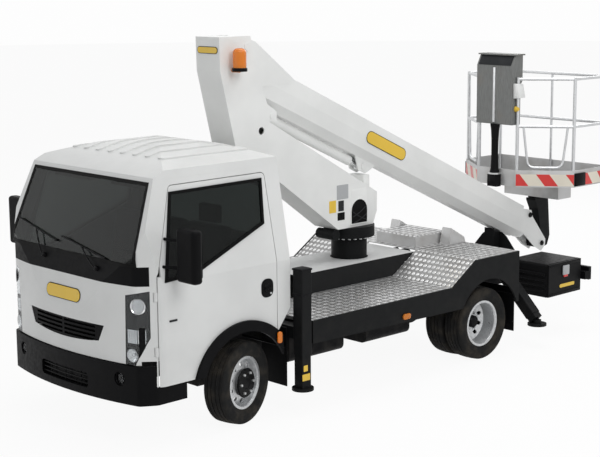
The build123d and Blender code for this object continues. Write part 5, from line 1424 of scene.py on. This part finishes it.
@dataclass
class BedTrim:
    """Side markers, jack plates and caps, rear lamps, splash shields and the bare rear plate of the bed."""

    markers: Rows = ((-0.348, 0.957, 0.672, 0.048, 0.095), (-1.766, 1.035, 0.612, 0.095, 0.050))
    jack: tuple[float, float] = (-0.580, 0.985)
    jack_face: float = 1.0342
    jack_plates: Rows = ((-0.566, 0.385, 0.045, 0.050), (-0.572, 0.310, 0.085, 0.055))
    shields: tuple[tuple[str, float, float, float, float, float], ...] = (
        ("front_splash_shield", 0.50, -0.85, 0.30, 0.36, 0.90),
        ("rear_splash_shield", -2.45, -3.35, 0.50, 0.52, 0.80))
    tail: tuple[float, float] = (-4.53, 0.575)
    tail_lens: Profile = ((0, -0.002), (0.030, -0.002), (0.030, 0.008), (0.022, 0.014), (0, 0.016))
    rear_plate: Place = (-4.49, 0, 0.56)

    def build(self) -> None:
        """Make the bed's pieces."""
        for hand in Hand:
            self.side_markers(hand)
            self.jack_trim(hand)
            self.tail_lamps(hand)
            for name, first, last, y, low, high in self.shields:
                middle = at((first + last) / 2, hand.value * y, (low + high) / 2)
                shape = outward(rounded(first - last, high - low, 0.03), middle, hand)
                shield = Bench.plate(f"{name}_{hand.label}", shape, 0.006, 0.001)
                Bench.dress(shield, Kit.trim, "chassis", "black_trim")
        outline = laid(rounded(0.52, 0.11, 0.012), at(*self.rear_plate), LEFTWARD, UP)
        plate = Bench.plate("rear_blank_plate", outline[::-1], 0.003, 0.001)
        Bench.dress(plate, Kit.grey_plate, "chassis", "galvanised")

    def side_markers(self, hand: Hand) -> None:
        """Oblong amber lenses on one side.

        Args:
            hand: the side.
        """
        for index, (s, y, z, wide, tall) in enumerate(self.markers):
            outline = outward(rounded(wide, tall, min(wide, tall) * 0.42), at(s, hand.value * y, z), hand)
            lens = Bench.plate(f"side_marker_{hand.label}_{index}", outline, 0.018, 0.006)
            Bench.dress(lens, Kit.amber, "chassis", "amber_lens")

    def jack_trim(self, hand: Hand) -> None:
        """Bare plates on a front leg, and the cap and band of its housing.

        Args:
            hand: the side.
        """
        for index, (s, z, wide, tall) in enumerate(self.jack_plates):
            outline = outward(rounded(wide, tall, 0.004), at(s, hand.value * self.jack_face, z), hand)
            plate = Bench.plate(f"jack_plate_{hand.label}_{index}", outline, 0.0015)
            Bench.dress(plate, Kit.yellow, f"front_leg_{hand.label}", "amber_lens")
        s, y = self.jack[0], hand.value * self.jack[1]
        blocks = [Bench.block(name, at(s - half, y - half, low), at(s + half, y + half, high), edge)
                  for name, half, low, high, edge in ((f"jack_cap_{hand.label}", 0.060, 1.188, 1.206, 0.006),
                                                      ("band", 0.058, 0.985, 1.0, 0.003))]
        Bench.dress(Bench.join(blocks[0].name, blocks), Kit.chassis, "chassis", "frame_paint")

    def tail_lamps(self, hand: Hand) -> None:
        """Three round lenses on one end of the lamp beam.

        Args:
            hand: the side.
        """
        s, z = self.tail
        for index, (y, finish, slot) in enumerate((
                (0.83, Kit.red_lens, "red_lens"), (0.90, Kit.amber, "amber_lens"), (0.965, Kit.lens, "lamp_glass"))):
            lens = Bench.turned(f"tail_lens_{hand.label}_{index}", self.tail_lens, at(s, hand.value * y, z),
                                (-1, 0, 0), 28)
            Bench.dress(lens, finish, "chassis", slot)


@dataclass
class TurretTrim:
    """Bare plates, slew bolts, access windows and the small control box of the turret."""

    side: float = 0.1502
    plates: tuple[tuple[str, float, float, float, float], ...] = (
        ("yellow", -1.758, 1.466, 0.085, 0.110), ("grey", -1.885, 1.588, 0.145, 0.130),
        ("dark", -1.866, 1.463, 0.070, 0.095), ("black", -1.866, 1.368, 0.090, 0.070))
    slew: float = -2.120
    bolt: Profile = ((0, 0), (0.014, 0), (0.014, 0.012), (0.010, 0.014), (0, 0.014))
    bolts: int = 24
    bolt_circle: float = 0.205
    bolt_z: float = 1.150
    opening: tuple[float, float, float, float, float] = (-2.098, 1.385, 0.106, 0.108, 0.118)
    hoses: Rows = ((-0.090, -0.080, 0.090, 0.010), (-0.090, -0.030, 0.070, -0.095), (-0.080, 0.040, 0.085, -0.040))

    def build(self) -> None:
        """Make the turret's pieces."""
        finishes = {"yellow": Kit.yellow, "grey": Kit.grey_plate, "dark": Kit.dash, "black": Kit.smooth_trim}
        for label, s, z, wide, tall in self.plates:
            outline = outward(rounded(wide, tall, 0.004), at(s, self.side, z), Hand.LEFT)
            plate = Bench.plate(f"turret_plate_{label}", outline, 0.0015)
            Bench.dress(plate, finishes[label], "slew_turret", "console_grey")
        turns = [math.tau * k / self.bolts for k in range(self.bolts)]
        moves = [Matrix.Translation(at(self.slew + self.bolt_circle * math.cos(turn),
                                       self.bolt_circle * math.sin(turn), self.bolt_z)) for turn in turns]
        bolts = Bench.copies(Bench.turned("bolt", self.bolt, (0, 0, 0), (0, 0, -1), 6), moves, True)
        Bench.dress(Bench.join("slew_bolts", bolts), Kit.bolt, "chassis", "galvanised", (), 20.0)
        for hand in Hand:
            self.window(hand)
        box = Bench.block("turret_control_box", at(-2.30, -0.09, 1.575), at(-2.22, 0.09, 1.70), 0.006)
        Bench.dress(box, Kit.boom, "slew_turret", "boom_paint")

    def window(self, hand: Hand) -> None:
        """Arched access window: cover plate, a black plate in the opening as painted shade of the hollow turret's
        inside, white lip and the hoses that cross it.

        Args:
            hand: the side.
        """
        s, z, half, foot, crown = self.opening
        turns = [math.pi * k / 10 for k in range(1, 10)]
        arch = [(half, -foot), (half, crown - half),
                *((half * math.cos(turn), crown - half + half * math.sin(turn)) for turn in turns),
                (-half, crown - half), (-half, -foot)]

        def place(along: float, lift: float, above: float) -> Vector:
            """Point on the turret's side, from the window's middle."""
            return at(s + along, hand.value * (self.side + lift), z + above)

        cover = outward(rounded(0.200, 0.330, 0.02), place(0, -0.0004, 0.045), hand)
        cover = Bench.plate(f"turret_cover_{hand.label}", cover, 0.0018, 0.0005)
        Bench.dress(cover, Kit.boom, "slew_turret", "boom_paint")
        # Painted shade: a black plate in the window's opening stands in for the shade inside the hollow turret.
        shade_plate = Bench.plate(f"turret_window_{hand.label}", outward(arch, place(0, 0.0012, 0), hand), 0.0015)
        Bench.dress(shade_plate, Kit.seal, "slew_turret", "black_trim")
        outline = laid(arch, place(0, 0.0012, 0), AHEAD, UP)
        grown = [point + (point - place(0, 0, 0)).normalized() * 0.006 for point in outline]
        lip = Bench.frame(f"turret_window_lip_{hand.label}", grown, 0.009, 0.008)
        Bench.dress(lip, Kit.boom, "slew_turret", "boom_paint")
        hoses = [Bench.rod(f"window_hose_{index}", [place(s0, 0.004, z0),
                                                    place((s0 + s1) / 2, 0.005, (z0 + z1) / 2 - 0.02),
                                                    place(s1, 0.004, z1)], 0.0045)
                 for index, (s0, z0, s1, z1) in enumerate(self.hoses)]
        Bench.dress(Bench.join(f"turret_hoses_{hand.label}", hoses), Kit.dash, "slew_turret", "dash_plastic")


@dataclass
class BoomTrim:
    """Pin heads, the beacon's collar and bare pill plates on the boom and turret head."""

    angle: float = 24.6
    pivot: tuple[float, float] = (-0.770, 2.930)
    pill: Place = (1.965, 0.1298, -0.178)
    pill_size: tuple[float, float] = (0.56, 0.105)
    head_pill: Place = (-0.4598, 0.0, 2.912)
    head_pill_size: tuple[float, float] = (0.245, 0.048)
    plate_lift: float = 0.0012
    pins: Profile = ((4.376, -0.088), (4.700, -0.296))
    pin_y: float = 0.0962
    pin_head: Profile = ((0, -0.002), (0.027, -0.002), (0.027, 0.006), (0.022, 0.010), (0.010, 0.010),
                         (0.008, 0.007), (0, 0.007))
    beacon: Place = (-0.600, 0.240, 2.744)
    collar: Profile = ((0.052, -0.004), (0.064, -0.004), (0.064, 0.020), (0.058, 0.026), (0.052, 0.026))

    def point(self, along: float, y: float, above: float) -> Vector:
        """Point in the boom's own directions.

        Args:
            along: metres from the pivot to the nose.
            y: metres to the left.
            above: metres above the boom's line.

        Returns:
            The point in the row frame.
        """
        turn = math.radians(self.angle)
        return at(self.pivot[0] - along * math.cos(turn) - above * math.sin(turn), y,
                  self.pivot[1] - along * math.sin(turn) + above * math.cos(turn))

    def build(self) -> None:
        """Make the boom's pieces."""
        heads = [Bench.turned("head", self.pin_head, self.point(along, hand.value * self.pin_y, above),
                              (0, hand.value, 0), 28) for along, above in self.pins for hand in Hand]
        Bench.dress(Bench.join("nose_pin_heads", heads), Kit.smooth_trim, "stage_2", "black_trim")
        collar = Bench.turned("beacon_collar", self.collar, at(*self.beacon), UP, 36)
        Bench.dress(collar, Kit.smooth_trim, "slew_turret", "black_trim")
        along = self.point(1, 0, 0) - self.point(0, 0, 0)
        above = self.point(0, 0, 1) - self.point(0, 0, 0)
        s, y, z = self.pill
        for hand in Hand:
            for name, grow, out, finish, slot in self.layers("boom_plate", 0.012):
                shape = self.pill_shape(self.pill_size, grow)
                outline = laid(shape, self.point(s, hand.value * (y + out), z), along, above)
                plate = Bench.plate(f"{name}_{hand.label}", outline[:: hand.value], 0.0015)
                Bench.dress(plate, finish, "boom", slot)
        s, y, z = self.head_pill
        for name, grow, out, finish, slot in self.layers("head_plate", 0.010):
            outline = laid(self.pill_shape(self.head_pill_size, grow), at(s + out, y, z), LEFTWARD, UP)
            Bench.dress(Bench.plate(name, outline, 0.0015), finish, "slew_turret", slot)

    def layers(self, name: str, grow: float) -> tuple[tuple[str, float, float, Finish, str], ...]:
        """A dark rim and the plate on it: name, growth, lift, finish and slot of each."""
        return ((f"{name}_rim", grow, 0.0, Kit.smooth_trim, "black_trim"),
                (name, 0.0, self.plate_lift, Kit.yellow, "amber_lens"))

    @staticmethod
    def pill_shape(size: tuple[float, float], grow: float) -> list[tuple[float, float]]:
        """Outline with half-round ends."""
        length, height = size[0] + grow, size[1] + grow
        return rounded(length, height, height / 2 - 0.001, 8)


@dataclass
class BasketTrim:
    """Warning bands, corner clamps, console fittings and the levers of the work basket."""

    floor: float = 1.386
    lift: float = 0.012
    band: float = 0.118
    pitch: float = 0.295
    red: float = 0.132
    slant: float = 0.090
    first: float = -0.095
    clamp: float = 0.190
    corners: Profile = ((-4.260, 0.250), (-4.620, 0.700), (-5.190, 0.700))
    knob: Profile = ((0, 0), (0.030, 0), (0.030, 0.016), (0.018, 0.036), (0, 0.038))
    sleeve_foot: Place = (-2.165, 0.0, 1.403)
    sleeve: Profile = ((0.0245, 0.022), (0.058, 0.022), (0.058, 0.10), (0.050, 0.112), (0.040, 0.16), (0.035, 0.30),
                       (0.036, 0.44), (0.041, 0.54), (0.050, 0.606), (0.0245, 0.606))
    sleeve_band: Profile = ((0.048, 0.098), (0.0615, 0.098), (0.0615, 0.113), (0.048, 0.113))
    lever_y: tuple[float, ...] = (-0.12, -0.04, 0.04, 0.12)
    lever_knob: Profile = ((0, -0.014), (0.010, -0.012), (0.014, 0.0), (0.010, 0.012), (0, 0.014))

    def chevrons(self, name: str, start: Vector, end: Vector) -> None:
        """Cream band with slanting red bars on one toe board.

        Args:
            name: name of the band.
            start: lower end on the left as seen from outside.
            end: lower end on the right.
        """
        along = end - start
        length = along.length
        along.normalize()
        out = along.cross(Vector(UP))
        foot = start + Vector((0, 0, self.lift))
        ground = laid([(0, 0), (length, 0), (length, self.band), (0, self.band)], foot + out * 0.0001, along, UP)
        Bench.dress(Bench.plate(f"{name}_ground", ground, 0.0005), Kit.cream, "basket", "white_paint")
        bars, step = [], self.first
        while step < length:
            shape = [(step + self.slant, 0.0), (step + self.slant + self.red, 0.0), (step + self.red, self.band),
                     (step, self.band)]
            clipped = self.clip(shape, length)
            if len(clipped) > 2:
                bars.append(Bench.plate("bar", laid(clipped, foot + out * 0.0006, along, UP), 0.0005))
            step += self.pitch
        Bench.dress(Bench.join(f"{name}_bars", bars), Kit.red, "basket", "red_lens")

    @staticmethod
    def clip(shape: Sequence[tuple[float, float]], length: float) -> list[tuple[float, float]]:
        """Keep the part of a polygon between nought and a length along the first direction.

        Args:
            shape: the polygon.
            length: the length.

        Returns:
            The polygon that is left.
        """
        for limit, sign in ((0.0, 1), (length, -1)):
            kept: list[tuple[float, float]] = []
            for (u0, v0), (u1, v1) in zip(shape, [*shape[1:], shape[0]]):
                inside0, inside1 = sign * (u0 - limit) >= 0, sign * (u1 - limit) >= 0
                if inside0:
                    kept.append((u0, v0))
                if inside0 != inside1:
                    kept.append((limit, v0 + (v1 - v0) * (limit - u0) / (u1 - u0)))
            shape = kept
            if not shape:
                break
        return list(shape)

    def build(self) -> None:
        """Make the basket's pieces."""
        left, right = ([at(s, hand.value * y, self.floor) for s, y in self.corners] for hand in Hand)
        inset = Vector((self.clamp, 0, 0))
        self.chevrons("basket_band_left_bevel", left[0], left[1])
        self.chevrons("basket_band_left", left[1] - inset, left[2])
        self.chevrons("basket_band_right_bevel", right[1], right[0])
        self.chevrons("basket_band_right", right[2], right[1] - inset)
        for hand in Hand:
            edge = left[1]
            low, high = sorted((hand.value * (edge.y - 0.002), hand.value * (edge.y + 0.016)))
            clamp = Bench.block(
                f"basket_corner_clamp_{hand.label}", (edge.x - self.clamp + 0.012, low, edge.z + 0.012),
                (edge.x - 0.004, high, edge.z + 0.142), 0.005)
            Bench.dress(clamp, Kit.smooth_trim, "basket", "black_trim")
        self.chevrons("basket_band_rear", left[2], right[2])
        low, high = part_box("console")
        self.console(low, high)
        self.hose_sleeve()
        self.levers(low.x)

    def console(self, low: Vector, high: Vector) -> None:
        """Seam strip, brow, socket hood and switch of the console.

        Args:
            low: low corner of the CAD console.
            high: its high corner.
        """
        strip = Bench.block("console_seam", (high.x - 0.004, -0.014, low.z + 0.02),
                            (high.x + 0.007, 0.014, low.z + 0.57), 0.003)
        Bench.dress(strip, Kit.tube, "basket", "galvanised")
        brow = [Vector((high.x + back, y, low.z + above)) for back, y, above in (
            (0.001, -0.205, 0.592), (0.001, 0.205, 0.592), (-0.052, 0.205, 0.686), (-0.052, -0.205, 0.686))]
        Bench.dress(Bench.plate("console_brow", brow, 0.004, 0.001), Kit.dash, "basket", "dash_plastic")
        hood = [Vector((high.x - 0.020, high.y + aside, z))
                for aside, z in ((-0.016, 2.425), (0.030, 2.420), (0.062, 2.285), (-0.016, 2.275))]
        Bench.dress(Bench.plate("console_socket_hood", hood, 0.105, 0.006), Kit.boom, "basket", "boom_paint")
        knob = Bench.turned("console_switch", self.knob, (high.x - 0.065, high.y - 0.014, 2.17), LEFTWARD, 28)
        Bench.dress(knob, Kit.yellow, "basket", "amber_lens")

    def hose_sleeve(self) -> None:
        """Rubber sleeve round the console's hose, with its band."""
        sleeve = Bench.turned("console_sleeve", self.sleeve, self.sleeve_foot, UP, 36)
        Bench.dress(sleeve, Kit.hose, "basket", "hose_rubber")
        band = Bench.turned("console_sleeve_band", self.sleeve_band, self.sleeve_foot, UP, 36)
        Bench.dress(band, Kit.bolt, "basket", "galvanised")

    def levers(self, back: float) -> None:
        """Four bent levers with knobs on the console's back.

        Args:
            back: X of the console's back.
        """
        levers = []
        for index, y in enumerate(self.lever_y):
            bend = [(back + 0.05, y, 2.46), (back - 0.004, y, 2.50), (back - 0.02, y, 2.555)]
            levers.append(Bench.rod(f"lever_{index}", bend, 0.006))
            levers.append(Bench.turned(f"lever_knob_{index}", self.lever_knob, (back - 0.021, y, 2.565), UP, 18))
        Bench.dress(Bench.join("console_levers", levers), Kit.smooth_trim, "basket", "black_trim")


@dataclass
class ToolboxTrim:
    """Ribs, lock, tab, bare plate and door rims of the toolbox."""

    front: float = -3.900
    rear: float = -4.430
    left: float = 0.950
    rib_z: float = 0.455
    rib_pitch: float = 0.055
    ribs: int = 4
    rims: tuple[tuple[str, float, float], ...] = (("rim_top", 0.702, 0.722), ("rim_low", 0.425, 0.442))

    def build(self) -> None:
        """Make the toolbox's pieces."""
        feet = [self.rib_z + self.rib_pitch * k for k in range(self.ribs)]
        ribs = [Bench.block("rib", at(self.front - 0.002, 0.50, z), at(self.front + 0.012, 0.91, z + 0.025), 0.005)
                for z in feet]
        Bench.dress(Bench.join("toolbox_ribs", ribs), Kit.box, "chassis", "box_plastic")
        lock = Bench.block("toolbox_lock", at(-4.215, self.left + 0.004, 0.605), at(-4.115, self.left + 0.018, 0.70),
                           0.006)
        Bench.dress(lock, Kit.grey_plate, "box_door", "console_grey")
        tab = Bench.block("toolbox_tab", at(-4.195, self.left + 0.002, 0.585), at(-4.135, self.left + 0.014, 0.606),
                          0.003)
        Bench.dress(tab, Kit.red, "box_door", "red_lens")
        outline = outward(rounded(0.24, 0.034, 0.016), at(-4.20, self.left - 0.0002, 0.50), Hand.LEFT)
        Bench.dress(Bench.plate("toolbox_plate", outline, 0.002), Kit.yellow, "box_door", "amber_lens")
        rims = [Bench.block(name, at(self.rear + 0.02, self.left - 0.002, low),
                            at(self.front - 0.02, self.left + 0.006, high), 0.003) for name, low, high in self.rims]
        Bench.dress(Bench.join("toolbox_door_rims", rims), Kit.box, "box_door", "box_plastic")


@dataclass
class Stage:
    """Pale floor, soft studio lights and the photograph's camera."""

    eye: Place = (9.3446, 9.2308, 3.5642)
    yaw: float = 3.9522
    pitch: float = 0.177
    roll: float = -0.0073
    lens: float = 87.07
    lamps: tuple[tuple[str, Place, float, float], ...] = (
        ("key", (3.5, 10.0, 8.0), 6.0, 430.0), ("fill", (9.0, -7.0, 5.0), 6.0, 90.0),
        ("top", (-1.0, 1.0, 9.5), 7.0, 330.0), ("back", (-9.0, -3.0, 6.0), 5.0, 160.0))
    aim: Place = (0, 0, 1.2)
    floor_radius: float = 60.0
    floor_glow: float = 0.93

    def build(self) -> None:
        """Make the stage."""
        self.floor()
        self.world()
        self.lights()
        self.camera()
        bpy.context.scene.view_settings.view_transform = "Standard"

    @staticmethod
    def shown(tree: bpy.types.NodeTree) -> Socket:
        """One for rays that show the backdrop: camera, glossy and transmitted ones.

        Args:
            tree: the node tree to add to.

        Returns:
            The share.
        """
        path = tree.nodes.new("ShaderNodeLightPath")
        total = path.outputs["Is Camera Ray"]
        for key in ("Is Glossy Ray", "Is Transmission Ray"):
            step = tree.nodes.new("ShaderNodeMath")
            step.operation = "MAXIMUM"
            tree.links.new(total, step.inputs[0])
            tree.links.new(path.outputs[key], step.inputs[1])
            total = step.outputs[0]
        return total

    def floor(self) -> None:
        """Wide pale disc that keeps a faint shadow."""
        Bench.begin()
        bpy.ops.mesh.primitive_circle_add(vertices=96, radius=self.floor_radius, fill_type="NGON")
        obj = bpy.context.object
        obj.name = "studio_floor"
        graph = Graph("pale_floor")
        graph.set(Base_Color=(0.86, 0.86, 0.86), Roughness=0.9)
        glow = graph.node("ShaderNodeEmission")
        glow.inputs["Color"].default_value = (1.0, 1.0, 1.0, 1.0)
        blend = graph.node("ShaderNodeMixShader")
        graph.feed(blend.inputs[0], graph.sum("MULTIPLY", self.shown(graph.tree), self.floor_glow))
        graph.feed(blend.inputs[1], graph.shader.outputs[0])
        graph.feed(blend.inputs[2], glow.outputs[0])
        graph.feed(graph.tree.nodes["Material Output"].inputs[0], blend.outputs[0])
        obj.data.materials.append(graph.material)

    def world(self) -> None:
        """Even studio light, white where the backdrop is seen, reflected or seen through glass."""
        world = bpy.data.worlds.new("studio")
        bpy.context.scene.world = world
        world.use_nodes = True
        tree = world.node_tree
        lit = tree.nodes["Background"]
        lit.inputs["Color"].default_value = (0.97, 0.985, 1.0, 1.0)
        lit.inputs["Strength"].default_value = 0.42
        white = tree.nodes.new("ShaderNodeBackground")
        white.inputs["Color"].default_value = (1.0, 1.0, 1.0, 1.0)
        white.inputs["Strength"].default_value = 0.985
        blend = tree.nodes.new("ShaderNodeMixShader")
        tree.links.new(self.shown(tree), blend.inputs[0])
        tree.links.new(lit.outputs[0], blend.inputs[1])
        tree.links.new(white.outputs[0], blend.inputs[2])
        tree.links.new(blend.outputs[0], tree.nodes["World Output"].inputs[0])

    def lights(self) -> None:
        """Large soft lamps: key from the left front, fill from the right, top from above and one behind."""
        for name, place, size, power in self.lamps:
            data = bpy.data.lights.new(name, "AREA")
            data.energy, data.size, data.shape = power, size, "DISK"
            lamp = bpy.data.objects.new(name, data)
            lamp.location = place
            lamp.rotation_mode = "QUATERNION"
            lamp.rotation_quaternion = (Vector(self.aim) - Vector(place)).to_track_quat("-Z", "Y")
            bpy.context.scene.collection.objects.link(lamp)

    def camera(self) -> None:
        """Camera at the photograph's viewpoint."""
        level = math.cos(self.pitch)
        ahead = Vector((level * math.cos(self.yaw), level * math.sin(self.yaw), -math.sin(self.pitch)))
        right = ahead.cross(Vector(UP)).normalized()
        up = right.cross(ahead)
        level_right = math.cos(self.roll) * right + math.sin(self.roll) * up
        level_up = -math.sin(self.roll) * right + math.cos(self.roll) * up
        data = bpy.data.cameras.new("photo")
        data.lens, data.sensor_width, data.sensor_fit = self.lens, 36.0, "HORIZONTAL"
        data.clip_end = 200.0
        camera = bpy.data.objects.new("photo", data)
        turn = Matrix((level_right, level_up, -ahead)).transposed()
        camera.matrix_world = Matrix.Translation(self.eye) @ turn.to_4x4()
        bpy.context.scene.collection.objects.link(camera)
        bpy.context.scene.camera = camera


NODE_FINISHES: dict[str, Finish] = {
    **dict.fromkeys(("cab_shell", "cab_roof", "front_panel", "door_left", "door_right"), Kit.cab),
    **dict.fromkeys(("boom_outer", "boom_stage_1", "boom_stage_2", "turret", "lift_barrel"), Kit.boom),
    **dict.fromkeys(("side_panels", "subframe", "slew_ring", "boom_cradle", "pedestal", "basket_link",
                     "jack_front_left", "jack_front_right", "jack_rear_left", "jack_rear_right"), Kit.bed),
    **dict.fromkeys(("chassis_frame", "under_tanks"), Kit.chassis),
    **dict.fromkeys(("engine_block", "front_axle", "rear_axle", "knuckle_left", "knuckle_right"), Kit.cast),
    **dict.fromkeys(("cowl", "grille", "front_bumper", "wheel_arches", "mirror_left", "mirror_right",
                     "rear_lamps"), Kit.trim),
    **dict.fromkeys(("deck_plates", "basket_floor"), Kit.tread),
    **dict.fromkeys(("rim_front_left", "rim_front_right", "rim_rear_left", "rim_rear_right"), Kit.wheel),
    **dict.fromkeys(("cab_glass", "door_glass_left", "door_glass_right"), Kit.window),
    **dict.fromkeys(("toolbox", "toolbox_door"), Kit.box),
    "deck_tunnel": Kit.tunnel, "deck_boxes": Kit.tread, "basket_rails": Kit.tube, "console": Kit.worn,
    "console_hose": Kit.hose, "beacon": Kit.amber, "dashboard": Kit.dash, "lift_rod": Kit.chrome,
}


def dress_nodes(frame: dict) -> None:
    """Give every CAD node that stays in view its finish.
    """
    for name, node in frame["nodes"].items():
        if name in NODE_FINISHES:
            material = NODE_FINISHES[name].material()
            if node.material_slots:
                node.material_slots[0].material = material
            else:
                node.data.materials.append(material)


def wheels() -> list[Wheel]:
    """The four wheel positions, from the kingpins and the axles.

    Returns:
        One wheel for each position.
    """
    made = []
    turn = STEER_AT_REST
    for hand in Hand:
        sign = hand.value
        out = Vector((-sign * math.sin(turn), sign * math.cos(turn), 0))
        front = at(0, sign * KINGPIN_Y, WHEEL_Z) + out * KINGPIN_OFFSET
        made.append(Wheel(f"front_wheel_{hand.label}", front, out, turn, False))
        rear = at(-WHEELBASE, sign * REAR_WHEEL_Y, WHEEL_Z)
        made.append(Wheel(f"rear_wheel_{hand.label}", rear, Vector((0, sign, 0)), 0.0, True))
    return made


def main() -> None:
    """Load the frame and dress it."""
    logging.basicConfig(level=logging.INFO, format="%(message)s")
    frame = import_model()
    Stage().build()
    dress_nodes(frame)
    CabTrim().build(frame)
    for hand in Hand:
        DoorTrim(hand).build()
    Seats().build()
    for wheel in wheels():
        wheel.build()
    for group in (BedTrim(), TurretTrim(), BoomTrim(), BasketTrim(), ToolboxTrim()):
        group.build()


if __name__ == "__main__":
    main()
